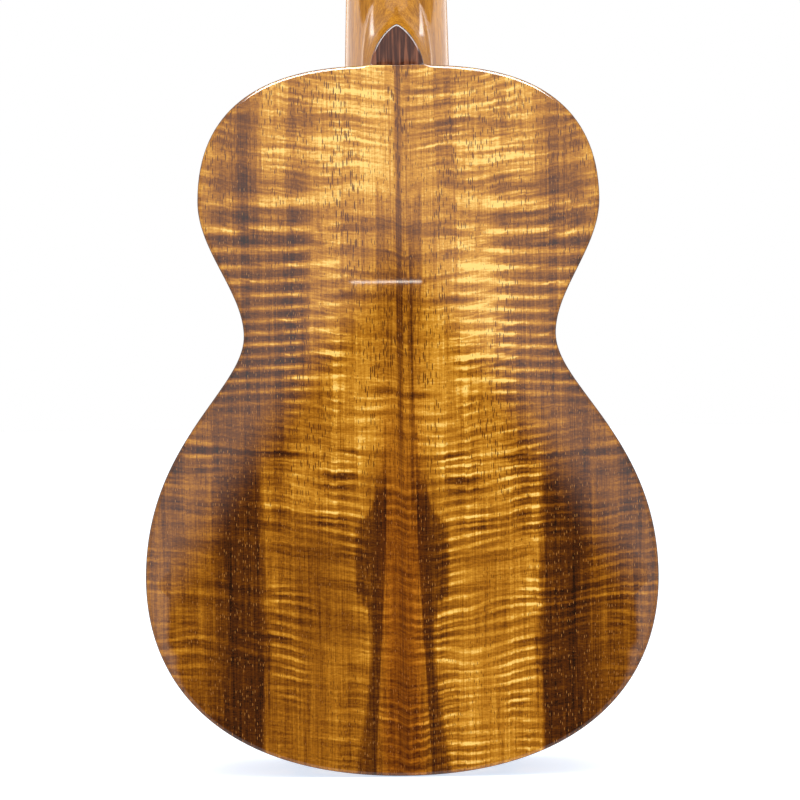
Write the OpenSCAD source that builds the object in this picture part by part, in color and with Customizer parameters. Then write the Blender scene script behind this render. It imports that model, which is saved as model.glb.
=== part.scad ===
// Tenor ukulele with a carved neck, an arched back and four open-geared tuning machines.
// The nut end of the fretboard is at the origin. +Z runs up the neck towards the head, +Y points
// out of the soundboard, and the back faces -Y. Seen from behind, +X is to the right.

/* [Scale and frets] */
// Length from the nut to the saddle, before compensation
scale_length = 432; // [420:1:440]
// Extra length at the saddle that keeps fretted notes in tune
saddle_compensation = 2; // [0:0.5:3]
// Fret that lies over the joint of neck and body
join_fret = 14; // [13:1:14]
// Number of frets
fret_count = 18; // [17:1:19]

/* [Body outline] */
// Length of the body
body_length = 305; // [300:1:310]
// Full width across the lower bout
lower_bout = 220; // [214:1:226]
// Height of the widest line of the lower bout above the tail
lower_bout_at = 85; // [82:1:88]
// Full width across the waist
waist = 134; // [130:1:138]
// Height of the waist above the tail
waist_at = 189; // [186:1:192]
// Full width across the upper bout
upper_bout = 173; // [168:1:178]
// Height of the widest line of the upper bout above the tail
upper_bout_at = 247; // [244:1:251]

/* [Body depth] */
// Depth at the tail, soundboard and back included
depth_tail = 72; // [68:1:76]
// Depth at the heel
depth_heel = 64; // [60:1:66]
// Radius of the spherical arch of the back
back_arch_radius = 4500; // [3000:100:9000]
// Thickness of the soundboard, back and sides
plate_t = 2; // [1.6:0.1:2.4]
// Diameter of the soundhole
soundhole_d = 62; // [58:1:66]
// Distance of the soundhole's centre above the tail
soundhole_at = 215; // [212:1:218]

/* [Neck] */
// Width at the nut
nut_width = 37; // [35:0.5:38]
// Width at the body joint
join_width = 47; // [45:0.5:48]
// Depth of the neck's wood behind the nut
neck_depth_nut = 13; // [12:0.5:14]
// Depth of the neck's wood before the heel
neck_depth_heel = 15; // [14:0.5:16]
// Width of the heel cap against the body
heel_width = 23; // [21:0.5:26]
// Length of the heel cap, from the body to its tip
heel_length = 18; // [16:0.5:20]
// Thickness of the fretboard
fretboard_t = 5.5; // [5:0.1:6]

/* [Head] */
// Angle by which the head tilts back
head_angle = 13; // [10:1:14]
// Length of the head behind the nut
head_length = 122; // [118:1:126]
// Full width at the top of the head
head_width = 65; // [63:1:68]
// Thickness of the head's wood
head_t = 12; // [11:0.5:13]
// Thickness of the veneer on the head's face
overlay_t = 2; // [1.5:0.5:2.5]

/* [Bridge] */
// Length of the bridge across the soundboard
bridge_length = 96; // [92:1:100]
// Width of the bridge along the strings
bridge_width = 24; // [24:0.5:26]
// String spacing at the saddle, from one outer string to the other
saddle_spread = 42; // [40:0.5:44]
// String spacing at the nut, from one outer string to the other
nut_spread = 28.5; // [27:0.5:29]

/* [Tuning machines] */
// Teeth on the worm wheel, which is also the gear ratio
wheel_teeth = 14; // [12:1:16]
// Distance between neighbouring turns of the worm
worm_pitch = 2; // [1.9:0.1:2.1]
// Radius of the string post
post_r = 3; // [2.9:0.1:3]
// Height of the post's top above the face of the head
post_top = 11.5; // [11:0.5:12]

/* [Hidden] */
$fn = 48;
tiny = 0.02;       // gap between a string and what it rests on
big = 200;         // larger than any part that it cuts

// ---- Colours ----
koa = [0.72, 0.45, 0.16];
mahogany = [0.70, 0.44, 0.14];
rosewood = [0.27, 0.13, 0.09];
spruce = [0.86, 0.72, 0.48];
bone = [0.93, 0.89, 0.78];
nickel = [0.78, 0.76, 0.72];
brass = [0.80, 0.62, 0.30];
nylon = [0.90, 0.88, 0.84];
pearl = [0.92, 0.91, 0.88];
carbon = [0.10, 0.10, 0.11];

// ---- Places along the instrument ----
// Distance of a fret from the nut
function fret_at(n) = scale_length * (1 - pow(2, -n / 12));
join_z = -fret_at(join_fret);
tail_z = join_z - body_length;
soundhole_z = tail_z + soundhole_at;
saddle_z = -(scale_length + saddle_compensation);
fretboard_length = fret_at(fret_count) + 7;
nut_t = 5;
// Half width of neck and fretboard at height z
function half_width(z) = (nut_width + (join_width - nut_width) * z / join_z) / 2;

// ---- Body outline: four cubic curves from the tail centre up the right side to the top centre ----
tail_handle = 73;
lower_handle = [49.5, 58.5];
waist_handle = [23, 19];
upper_handle = [21, 63.5];
top_handle = 18;
outline_steps = 14;
outline_curves = [
    [[0, 0], [tail_handle, 0],
     [lower_bout / 2, lower_bout_at - lower_handle[0]], [lower_bout / 2, lower_bout_at]],
    [[lower_bout / 2, lower_bout_at], [lower_bout / 2, lower_bout_at + lower_handle[1]],
     [waist / 2, waist_at - waist_handle[0]], [waist / 2, waist_at]],
    [[waist / 2, waist_at], [waist / 2, waist_at + waist_handle[1]],
     [upper_bout / 2, upper_bout_at - upper_handle[0]], [upper_bout / 2, upper_bout_at]],
    [[upper_bout / 2, upper_bout_at], [upper_bout / 2, upper_bout_at + upper_handle[1]],
     [top_handle, body_length], [0, body_length]]
];
// A point on a cubic curve, and the curve's direction there
function bezier(p, t) = pow(1 - t, 3) * p[0] + 3 * pow(1 - t, 2) * t * p[1]
    + 3 * (1 - t) * t * t * p[2] + pow(t, 3) * p[3];
function bezier_slope(p, t) = pow(1 - t, 2) * (p[1] - p[0]) + 2 * (1 - t) * t * (p[2] - p[1])
    + t * t * (p[3] - p[2]);
// A point on a curve moved inwards, to the left of its direction
function inset_point(p, t, inset) =
    let (d = bezier_slope(p, t), n = norm(d)) bezier(p, t) + [-d[1], d[0]] * inset / n;
// Right half of the outline, moved inwards by inset, from tail to top
function half_outline(inset) = concat(
    [for (c = outline_curves) for (i = [0 : outline_steps - 1]) inset_point(c, i / outline_steps, inset)],
    [inset_point(outline_curves[3], 1, inset)]
);
// The same points on the left, from top to tail
function mirrored(points) = [for (i = [len(points) - 1 : -1 : 0]) [-points[i][0], points[i][1]]];
module half_body(inset = 0) translate([0, tail_z]) polygon(half_outline(inset));
module whole_body(inset = 0) translate([0, tail_z])
    polygon(concat(half_outline(inset), mirrored([for (p = half_outline(inset)) if (p[0] > 0.001) p])));

// ---- Helpers ----
// Extrudes a shape drawn in the X-Z plane from y0 to y1
module slab(y0, y1) translate([0, y1, 0]) rotate([90, 0, 0]) linear_extrude(y1 - y0) children();
// Keeps one side: 1 is the right, -1 the left
module side_of(side) mirror([side < 0 ? 1 : 0, 0, 0]) children();
// A cylinder along Y, from y0 to y1
module rod_y(r, y0, y1) translate([0, y0, 0]) rotate([-90, 0, 0]) cylinder(r = r, h = y1 - y0);
// A cylinder along Z, from z0 to z1
module rod_z(r, z0, z1) translate([0, 0, z0]) cylinder(r = r, h = z1 - z0);
// A cylinder along X, from x0 to x1
module rod_x(r, x0, x1) translate([x0, 0, 0]) rotate([0, 90, 0]) cylinder(r = r, h = x1 - x0);
// A rectangle with round corners
module rounded(x, y, r) {
    translate([x[0] + r, y[0]]) square([x[1] - x[0] - 2 * r, y[1] - y[0]]);
    translate([x[0], y[0] + r]) square([x[1] - x[0], y[1] - y[0] - 2 * r]);
    for (cx = [x[0] + r, x[1] - r]) for (cy = [y[0] + r, y[1] - r]) translate([cx, cy]) circle(r = r);
}
module box(x, y, z) translate([x[0], y[0], z[0]]) cube([x[1] - x[0], y[1] - y[0], z[1] - z[0]]);

// ---- Arch of the back ----
arch_step = 30;
arch_reach = 330;
back_chord = norm([depth_heel - depth_tail, body_length]);
arch_height = sqrt(pow(back_arch_radius, 2) - pow(back_chord / 2, 2));
arch_y = -(depth_heel + depth_tail) / 2 + arch_height * body_length / back_chord;
arch_z = tail_z + body_length / 2 - arch_height * (depth_tail - depth_heel) / back_chord;
// Everything in front of the arched surface, raised by lift
module above_arch(lift) translate([0, arch_y - back_arch_radius + lift, arch_z])
    rotate([-90, 0, 0]) rotate_extrude($fn = 96) polygon(concat(
        [for (r = [0 : arch_step : arch_reach])
            [r, back_arch_radius - sqrt(pow(back_arch_radius, 2) - r * r)]],
        [[arch_reach, 100], [0, 100]]
    ));

// ---- Body ----
rosette_r = [36, 41.5];
rosette_t = 1;
module soundboard_half(side) color(koa) side_of(side) difference() {
    slab(-plate_t, 0) half_body();
    translate([0, 0, soundhole_z]) {
        rod_y(soundhole_d / 2, -big, big);
        difference() {
            rod_y(rosette_r[1], -rosette_t, big);
            rod_y(rosette_r[0], -big, big);
        }
    }
}
module rosette() color(rosewood) translate([0, 0, soundhole_z]) difference() {
    rod_y(rosette_r[1], -rosette_t, 0);
    rod_y(rosette_r[0], -big, big);
}
module back_half(side) color(koa) side_of(side) difference() {
    intersection() {
        slab(-depth_tail - 10, -depth_heel / 2) half_body();
        above_arch(0);
    }
    above_arch(plate_t);
}
graft_w = 12;
// Between the soundboard and the back, a band of the outline from one inset to another
module rim(from, to, y0, y1, lift) intersection() {
    slab(y0, y1) difference() {
        half_body(from);
        half_body(to);
    }
    above_arch(lift);
}
module side_half(side) color(koa) side_of(side) difference() {
    rim(0, plate_t, -depth_tail - 10, -plate_t, plate_t);
    box([-graft_w / 2, graft_w / 2], [-big, big], [tail_z - 1, tail_z + 10]);
    translate([0, bolt_y, 0]) rod_z(bolt_r + bolt_play, join_z - 10, 0);
}
module tail_graft() color(rosewood) intersection() {
    for (side = [1, -1]) side_of(side) rim(0, plate_t, -depth_tail - 10, -plate_t, plate_t);
    box([-graft_w / 2, graft_w / 2], [-big, big], [tail_z - 1, tail_z + 10]);
}
neck_block_w = 52;
neck_block_t = 22;
tail_block_t = 14;
tail_block_w = 46;
bolt_y = -34;
bolt_r = 3;
bolt_play = 0.3;
module inside(inset, lift, y0 = -depth_tail, y1 = -plate_t) intersection() {
    slab(y0, y1) whole_body(inset);
    above_arch(lift);
}
module neck_block() color(mahogany) difference() {
    intersection() {
        inside(plate_t, plate_t);
        box([-neck_block_w / 2, neck_block_w / 2], [-big, big], [join_z - plate_t - neck_block_t, join_z]);
    }
    translate([0, bolt_y, 0]) rod_z(bolt_r + bolt_play, -big * 2, 0);
}
module tail_block() color(mahogany) intersection() {
    inside(plate_t, plate_t);
    box([-tail_block_w / 2, tail_block_w / 2], [-big, big], [tail_z, tail_z + plate_t + tail_block_t]);
}
lining_t = 4.5;
lining_h = 11;
module clear_of_blocks() difference() {
    children();
    box([-neck_block_w / 2, neck_block_w / 2], [-big, big], [join_z - plate_t - neck_block_t, join_z]);
    box([-tail_block_w / 2, tail_block_w / 2], [-big, big], [tail_z, tail_z + plate_t + tail_block_t]);
}
module top_linings() color(mahogany) for (side = [1, -1]) side_of(side)
    clear_of_blocks() rim(plate_t, plate_t + lining_t, -plate_t - lining_h, -plate_t, plate_t);
module back_linings() color(mahogany) for (side = [1, -1]) side_of(side) clear_of_blocks() difference() {
    rim(plate_t, plate_t + lining_t, -depth_tail, -depth_heel / 2, plate_t);
    above_arch(plate_t + lining_h);
}
brace_w = 7;
brace_h = 11;
cross_brace_at = [soundhole_at - 48, soundhole_at + 48];
fan_angles = [-9, 0, 9];
fan_h = 6;
fan_w = 5;
plate_w = 30;
bridge_plate_t = 1.6;
// The stretch that a brace takes up, at a height above the tail
function brace_span(at) = [tail_z + at - brace_w / 2, tail_z + at + brace_w / 2];
module soundboard_braces() color(spruce) {
    for (at = cross_brace_at) intersection() {
        inside(plate_t + lining_t, plate_t);
        box([-big, big], [-plate_t - brace_h, -plate_t], brace_span(at));
    }
    difference() {
        intersection() {
            inside(plate_t + lining_t, plate_t);
            for (a = fan_angles) translate([0, 0, soundhole_z]) rotate([0, a, 0])
                translate([0, 0, -soundhole_at]) box([-fan_w / 2, fan_w / 2], [-plate_t - fan_h, -plate_t],
                    [tail_block_t + 8, cross_brace_at[0] - brace_w / 2 - 4]);
        }
        bridge_plate_shape();
    }
}
module bridge_plate_shape() box([-45, 45], [-plate_t - bridge_plate_t, -plate_t],
    [saddle_z - bridge_width / 2 - plate_w / 2 + 6, saddle_z - bridge_width / 2 + plate_w / 2 + 6]);
module bridge_plate() color(spruce) bridge_plate_shape();
back_brace_at = [62, 150, 236];
module back_braces() color(spruce) for (at = back_brace_at) intersection() {
    difference() {
        inside(plate_t + lining_t, plate_t);
        above_arch(plate_t + brace_h);
    }
    box([-big, big], [-big, big], brace_span(at));
}
strip_w = 14;
module back_seam_strip() color(spruce) difference() {
    intersection() {
        difference() {
            inside(plate_t + lining_t, plate_t);
            above_arch(plate_t + 2.2);
        }
        box([-strip_w / 2, strip_w / 2], [-big, big],
            [tail_z + plate_t + tail_block_t, join_z - plate_t - neck_block_t]);
    }
    for (at = back_brace_at)
        box([-big, big], [-big, big], brace_span(at));
}

// ---- Neck ----
cap_t = 2.5;
heel_depth = depth_heel - cap_t;
heel_flare = 6;
heel_sweep = 75;
heel_blend = 8;
neck_fullness = 2.3;
// Outline of the heel: 1 at the body, 0 at its tip and negative past it
function ogive(s, length) = s >= length ? -(s - length) : pow(1 - pow(max(s, 0) / length, 2), 0.9);
// The neck's own profile and the heel's blade as half widths, at depth d and distance s from the body
function shaft_depth(s) = neck_depth_heel + (neck_depth_nut - neck_depth_heel) * s / -join_z;
function shaft_half(d, s) = let (h = shaft_depth(s), u = d / h)
    u >= 1 ? h - d : half_width(join_z + s) * pow(1 - pow(u, neck_fullness), 1 / neck_fullness);
function blade_half(d, s) = let (u = min(d / heel_depth, 1))
    (heel_width / 2 + heel_flare * pow(1 - u, 1.5)) * ogive(s, heel_length + heel_sweep * pow(1 - u, 3.5));
// The larger of two widths with a fillet between them
function blended(a, b) = let (h = max(heel_blend - abs(a - b), 0) / heel_blend)
    max(a, b) + h * h * heel_blend / 4;
function neck_half(d, s) = blended(shaft_half(d, s), blade_half(d, s));
// Distance from the fretboard's underside to the surface, along a ray at an angle below it
function ray_length(angle, s, low, high, n) = n == 0 ? (low + high) / 2
    : let (r = (low + high) / 2)
      neck_half(r * sin(angle), s) > abs(r * cos(angle))
        ? ray_length(angle, s, r, high, n - 1) : ray_length(angle, s, low, r, n - 1);
ring_sides = 30;
neck_stations = 30;
function neck_ring(s) = [for (i = [0 : ring_sides])
    let (angle = 180 * i / ring_sides,
         reach = min(heel_depth / max(sin(angle), 0.001), 90),
         r = i == 0 || i == ring_sides ? half_width(join_z + s) : ray_length(angle, s, 0, reach, 18))
    [r * cos(angle), -r * sin(angle)]];
function neck_lift(s, y) = s >= -join_z ? nut_t + y * tan(head_angle) : join_z + s;
neck_overlap = 5;
neck_rings = concat(
    [[for (p = neck_ring(0)) [p[0], p[1], join_z - neck_overlap]]],
    [for (i = [0 : neck_stations]) let (s = -join_z * pow(i / neck_stations, 1.8))
        [for (p = neck_ring(s)) [p[0], p[1], neck_lift(s, p[1])]]]
);
// Joins rings of equal length into a closed solid
module loft(rings) {
    n = len(rings[0]);
    m = len(rings);
    polyhedron(
        points = [for (ring = rings) for (p = ring) p],
        faces = concat(
            [for (k = [0 : m - 2]) for (i = [0 : n - 1]) [k * n + i, k * n + (i + 1) % n, (k + 1) * n + i]],
            [for (k = [0 : m - 2]) for (i = [0 : n - 1])
                [k * n + (i + 1) % n, (k + 1) * n + (i + 1) % n, (k + 1) * n + i]],
            [[for (i = [n - 1 : -1 : 0]) i]],
            [[for (i = [0 : n - 1]) (m - 1) * n + i]]
        ),
        convexity = 6
    );
}
insert_r = 4.5;
insert_length = 14;
rod_w = 4;
rod_h = 7;
rod_z_range = [join_z + 12, -12];
module neck() color(mahogany) difference() {
    loft(neck_rings);
    slab(-big, 1) whole_body();
    box([-rod_w / 2, rod_w / 2], [-rod_h, 1], rod_z_range);
    translate([0, bolt_y, 0]) rod_z(insert_r, join_z - neck_overlap - 1, join_z + insert_length);
}
module neck_rod() color(carbon) box([-rod_w / 2, rod_w / 2], [-rod_h, 0], rod_z_range);
module neck_insert() color(brass) translate([0, bolt_y, 0]) difference() {
    rod_z(insert_r, join_z + 1, join_z + insert_length);
    rod_z(bolt_r, join_z - 1, join_z + insert_length + 1);
}
bolt_head_z = join_z - plate_t - neck_block_t;
module neck_bolt() color(nickel) translate([0, bolt_y, 0]) {
    difference() {
        union() {
            rod_z(bolt_r, bolt_head_z - 1.5, join_z + insert_length - 2);
            rod_z(5, bolt_head_z - 7, bolt_head_z - 1.5);
        }
        translate([0, 0, bolt_head_z - 8]) cylinder(r = 2.9, h = 4, $fn = 6);
    }
    difference() {
        rod_z(8, bolt_head_z - 1.5, bolt_head_z);
        rod_z(bolt_r + bolt_play, bolt_head_z - 3, bolt_head_z + 1);
    }
}
// Outline of the heel cap, from the body to its pointed tip
cap_steps = 12;
module cap_outline() translate([0, join_z]) polygon(concat(
    [for (i = [0 : cap_steps]) let (s = heel_length * sin(90 * i / cap_steps))
        [heel_width / 2 * ogive(min(s, heel_length - 0.001), heel_length), s]],
    [for (i = [cap_steps - 1 : -1 : 0]) let (s = heel_length * sin(90 * i / cap_steps))
        [-heel_width / 2 * ogive(s, heel_length), s]]
));
module heel_cap() color(rosewood) difference() {
    slab(-depth_heel, -heel_depth) cap_outline();
    slab(-big, 1) whole_body();
}

// ---- Fretboard ----
fret_crown_w = 2;
fret_crown_h = 1;
tang_w = 0.6;
tang_depth = 2;
dot_r = 3;
dot_t = 1;
side_dot_r = 1;
side_dot_gap = 4;
marked_frets = [5, 7, 10, 12, 15];
double_dot_x = 9;
double_fret = 12;
function between_frets(n) = -(fret_at(n) + fret_at(n - 1)) / 2;
function dot_xs(n) = n == double_fret ? [-double_dot_x, double_dot_x] : [0];
module fretboard_plan() polygon([
    [-half_width(0), 0], [half_width(0), 0],
    [half_width(-fretboard_length), -fretboard_length], [-half_width(-fretboard_length), -fretboard_length]
]);
module dots(extra = 0) {
    for (n = marked_frets) for (x = dot_xs(n)) translate([x, 0, between_frets(n)])
        rod_y(dot_r, fretboard_t - dot_t, fretboard_t + extra);
    for (n = marked_frets) for (k = [0 : len(dot_xs(n)) - 1]) let (z = between_frets(n))
        translate([half_width(z), fretboard_t / 2, z + (k - (len(dot_xs(n)) - 1) / 2) * side_dot_gap])
            rod_x(side_dot_r, -1.5, -0.05 + extra);
}
module fretboard() color(rosewood) difference() {
    slab(0, fretboard_t) fretboard_plan();
    for (n = [1 : fret_count]) box([-big, big], [fretboard_t - tang_depth, big],
        [-fret_at(n) - tang_w / 2, -fret_at(n) + tang_w / 2]);
    dots(1);
}
module inlay_dots() color(pearl) dots();
// Fret profile: a domed crown over a thin tang, drawn with X across the wire
crown_steps = 8;
module fret_profile() polygon(concat(
    [for (i = [0 : crown_steps]) let (a = 180 * i / crown_steps)
        [fret_crown_w / 2 * cos(a), fret_crown_h * sin(a)]],
    [[-tang_w / 2, 0], [-tang_w / 2, -tang_depth], [tang_w / 2, -tang_depth], [tang_w / 2, 0]]
));
module frets() color(nickel) for (n = [1 : fret_count]) let (w = half_width(-fret_at(n)) - 0.3)
    translate([-w, fretboard_t, -fret_at(n)]) rotate([0, 90, 0]) linear_extrude(2 * w) fret_profile();

// ---- Strings, from the bass side: name order g, c, e, a ----
string_d = [0.62, 0.90, 0.76, 0.58];
function string_x(i, spread) = spread * (0.5 - i / 3);
action_nut = fretboard_t + fret_crown_h + 0.5;
action_saddle = fretboard_t + fret_crown_h + 4.5;

// ---- Nut and saddle ----
nut_top = action_nut + 0.45;
nut_crest = 1.2;       // flat stretch of the nut's top, before it falls towards the head
nut_back = action_nut - 2.2;
slot_gap = 0.1;
// Extrudes a profile of Y and Z along X, to half on each side
module across(half) rotate([90, 0, 90]) translate([0, 0, -half]) linear_extrude(2 * half) children();
// Slot that turns and falls towards the post from the string's last bend
module nut_slot(i) {
    route = string_route(i);
    bend = route[len(route) - 2];
    run = route[len(route) - 1] - bend;
    translate([bend[0], 0, bend[2]]) rotate([0, atan(run[0] / run[2]), 0])
        across(string_d[i] / 2 + slot_gap) polygon([[action_nut, -2], [action_nut, 0],
            [action_nut + nut_t * run[1] / run[2], nut_t], [action_nut + 3, nut_t], [action_nut + 3, -2]]);
}
module nut() color(bone) difference() {
    across(nut_width / 2)
        polygon([[0, 0], [nut_top, 0], [nut_top, nut_crest], [nut_back, nut_t], [0, nut_t]]);
    for (i = [0 : 3]) nut_slot(i);
}
saddle_t = 2.4;
saddle_length = 58;
saddle_slot_y = 3.5;
saddle_wall = 3;       // from the saddle's middle to the channel behind it
module saddle() color(bone) intersection() {
    box([-saddle_length / 2, saddle_length / 2], [saddle_slot_y, action_saddle],
        [saddle_z - saddle_t / 2, saddle_z + saddle_t / 2]);
    translate([0, action_saddle - 2, saddle_z]) {
        rod_x(2, -saddle_length / 2, saddle_length / 2);
        box([-big, big], [-20, 0], [-5, 5]);
    }
}

// ---- Bridge with a tie block ----
bridge_front = saddle_z + 6.5;
bridge_back = bridge_front - bridge_width;
bridge_base_t = 3;
bridge_top = 7.5;
bridge_block = 60;
tie_block = [bridge_back + 1, bridge_back + 9.5];
tie_top = 7;
tie_hole_y = 3.9;
tie_hole_r = 0.8;
channel_y = 2.6;
bridge_corner = 7;
module bridge() color(rosewood) difference() {
    union() {
        slab(0, bridge_base_t) rounded([-bridge_length / 2, bridge_length / 2], [bridge_back, bridge_front],
            bridge_corner);
        box([-bridge_block / 2, bridge_block / 2], [0, bridge_top], [saddle_z - saddle_wall, bridge_front]);
        box([-bridge_block / 2, bridge_block / 2], [0, tie_top], tie_block);
    }
    box([-saddle_length / 2, saddle_length / 2], [saddle_slot_y, big],
        [saddle_z - saddle_t / 2, saddle_z + saddle_t / 2]);
    box([-bridge_block / 2, bridge_block / 2], [channel_y, big], [tie_block[1], saddle_z - saddle_wall]);
    for (i = [0 : 3]) translate([string_x(i, saddle_spread), tie_hole_y, 0])
        rod_z(tie_hole_r, bridge_back - 1, tie_block[1] + 1);
}

// ---- Head ----
module head_frame() translate([0, 0, nut_t]) rotate([head_angle, 0, 0]) children();
function from_head(p) = [p[0], p[1] * cos(head_angle) - p[2] * sin(head_angle),
    nut_t + p[1] * sin(head_angle) + p[2] * cos(head_angle)];
head_curves = [
    [[nut_width / 2, 0], [nut_width / 2, 11], [head_width / 2 - 3, 10], [head_width / 2 - 2, 25]],
    [[head_width / 2 - 2, 25], [head_width / 2 - 1, 50],
     [head_width / 2, 80], [head_width / 2, head_length - 14]],
    [[head_width / 2, head_length - 14], [head_width / 2, head_length - 4],
     [16, head_length - 5], [0, head_length]]
];
head_steps = 10;
head_half_points = [for (c = head_curves) for (i = [0 : head_steps - 1]) bezier(c, i / head_steps)];
module head_plan() polygon(concat(head_half_points, [[0, head_length]], mirrored(head_half_points)));
head_edge = head_width / 2;

// ---- Tuning machines, in the head's frame: one for each string, worm towards the nut ----
post_places = [[18, 35], [15.5, 82], [-15.5, 82], [-18, 35]];
module at_post(i) head_frame() translate([post_places[i][0], 0, post_places[i][1]])
    side_of(post_places[i][0] < 0 ? -1 : 1) children();
bushing_r = 4;
running = 0.05;
face_y = overlay_t;
module head_holes() for (i = [0 : 3]) translate([post_places[i][0], 0, post_places[i][1]])
    rod_y(bushing_r, -big, big);
screw_zs = [-11.2, 8.2];
screw_r = 0.8;
screw_length = 7;
module headstock() color(mahogany) head_frame() difference() {
    slab(-head_t, 0) head_plan();
    head_holes();
    for (i = [0 : 3]) for (z = screw_zs) translate([post_places[i][0], 0, post_places[i][1] + z])
        rod_y(screw_r, -head_t - 1, -head_t + screw_length);
}
module head_overlay() color(koa) head_frame() difference() {
    slab(0, overlay_t) head_plan();
    head_holes();
}

tuner_plate_t = 1;
tuner_tab_r = 2.5;
tuner_plate_y = -head_t - tuner_plate_t;
wheel_pitch_r = wheel_teeth * worm_pitch / (2 * PI);
worm_pitch_r = 1.8;
worm_offset = wheel_pitch_r + worm_pitch_r;
worm_tip_r = 2.1;
worm_core_r = 1.35;
shaft_r = 1.35;
wheel_t = 2.4;
drive_y = tuner_plate_y - worm_tip_r - 0.25;   // plane of the wheel's middle and the worm's axis
lug_x = [4, 5.2];
lug_half = 2.3;
button_clearance = 5;
button_length = 13;
function shaft_out(i) = head_edge + button_clearance - abs(post_places[i][0]);

module tuner_plate() difference() {
    union() {
        slab(tuner_plate_y, -head_t) {
            for (z = screw_zs) translate([0, z]) circle(r = tuner_tab_r);
            translate([-tuner_tab_r, screw_zs[0]]) square([2 * tuner_tab_r, screw_zs[1] - screw_zs[0]]);
            translate([-lug_x[1], -worm_offset - lug_half])
                square([2 * lug_x[1], worm_offset + lug_half + wheel_pitch_r]);
        }
        for (side = [1, -1]) side_of(side) {
            box(lug_x, [drive_y, -head_t], [-worm_offset - lug_half, -worm_offset + lug_half]);
            translate([0, drive_y, -worm_offset]) rod_x(lug_half, lug_x[0], lug_x[1]);
        }
    }
    rod_y(post_r + running, -big, big);
    translate([0, drive_y, -worm_offset]) rod_x(shaft_r + running, -10, 10);
    for (z = screw_zs) translate([0, 0, z]) rod_y(screw_r + running, -big, big);
}
module tuner_plates() color(nickel) for (i = [0 : 3]) at_post(i) tuner_plate();

module tuner_bushings() color(nickel) for (i = [0 : 3]) at_post(i) difference() {
    union() {
        rod_y(bushing_r, -5, face_y);
        rod_y(5.2, face_y, face_y + 0.8);
        rod_y(4.4, face_y + 0.8, face_y + 1.3);
    }
    rod_y(post_r + running, -big, big);
}
module plate_screws() color(nickel) for (i = [0 : 3]) at_post(i) for (z = screw_zs) translate([0, 0, z])
    difference() {
        union() {
            rod_y(screw_r, tuner_plate_y, -head_t + screw_length);
            translate([0, tuner_plate_y, 0]) rotate([90, 0, 0]) cylinder(r1 = 1.6, r2 = 1.1, h = 0.9);
        }
        box([-0.2, 0.2], [tuner_plate_y - 2, tuner_plate_y - 0.4], [-2, 2]);
        box([-2, 2], [tuner_plate_y - 2, tuner_plate_y - 0.4], [-0.2, 0.2]);
    }

// Worm thread: a ridge swept along a helix, with a groove facing the wheel at x = 0
thread_turns = 3;
thread_step = 24;
thread_start = 2.25 - 360 * (thread_turns + 1) / 2;
thread_fade = 60;
// Distances along the shaft and above its core
thread_profile = [[0.52, -0.25], [0.22, 0.75], [-0.22, 0.75], [-0.52, -0.25]];
function thread_height(p, a) = p[1] < 0 ? p[1]
    : p[1] * min(1, (180 * thread_turns + 5 - abs(a + 180)) / thread_fade);
function thread_ring(a) = [for (p = thread_profile) let (r = worm_core_r + thread_height(p, a))
    [worm_pitch * (a / 360 + 0.5) + p[0], r * sin(a), r * cos(a)]];
module worm_thread() loft([for (a = [thread_start : thread_step : thread_start + 360 * thread_turns])
    thread_ring(a)]);
module worm_shaft(i) color(nickel) at_post(i) translate([0, drive_y, -worm_offset]) {
    rod_x(worm_core_r, -lug_x[1] - 0.6, shaft_out(i) + button_length - 3);
    worm_thread();
}
module tuner_button(i) color(pearl) at_post(i) translate([shaft_out(i), drive_y, -worm_offset]) difference() {
    hull() {
        rod_x(3.2, 0, 1);
        translate([button_length - 4, 0, 0]) for (z = [-2.6, 2.6]) translate([0, 0, z])
            sphere(r = 3.4, $fn = 24);
        translate([5, 0, 0]) for (z = [-3, 3]) translate([0, 0, z]) sphere(r = 3.1, $fn = 24);
    }
    rod_x(shaft_r, -1, button_length - 3);
}

// Posts, wheels and their screws
wheel_y = [drive_y - wheel_t / 2, drive_y + wheel_t / 2];
stub_r = 1.7;
post_chamfer = 0.6;
wheel_screw_r = 0.8;
string_hole_y = face_y + 6.4;
string_hole_r = 0.8;
module string_post(i) color(nickel) at_post(i) difference() {
    union() {
        rod_y(post_r, wheel_y[1], post_top - post_chamfer);
        translate([0, post_top - post_chamfer, 0]) rotate([-90, 0, 0])
            cylinder(r1 = post_r, r2 = post_r - post_chamfer, h = post_chamfer);
        rod_y(stub_r, wheel_y[0], wheel_y[1]);
    }
    translate([0, string_hole_y, 0]) rod_x(string_hole_r, -5, 5);
    rod_y(wheel_screw_r, wheel_y[0] - 1, wheel_y[0] + 6);
}
wheel_tip_r = wheel_pitch_r + 0.3;
wheel_root_r = wheel_pitch_r - 0.45;
tooth_root_half = 78 / wheel_teeth;   // half widths of a tooth in degrees
tooth_tip_half = 36 / wheel_teeth;
module worm_wheel(i) color(brass) at_post(i) difference() {
    slab(wheel_y[0], wheel_y[1]) polygon([for (k = [0 : wheel_teeth - 1])
        for (corner = [[-tooth_root_half, wheel_root_r], [-tooth_tip_half, wheel_tip_r],
                       [tooth_tip_half, wheel_tip_r], [tooth_root_half, wheel_root_r]])
            let (a = 360 * k / wheel_teeth + corner[0] - 90) corner[1] * [cos(a), sin(a)]]);
    rod_y(stub_r, -big, big);
}
module wheel_screw(i) color(nickel) at_post(i) difference() {
    union() {
        rod_y(wheel_screw_r, wheel_y[0], wheel_y[0] + 5.5);
        rod_y(2.4, wheel_y[0] - 1.3, wheel_y[0]);
    }
    box([-0.3, 0.3], [wheel_y[0] - 3, wheel_y[0] - 0.7], [-4, 4]);
}

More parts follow.
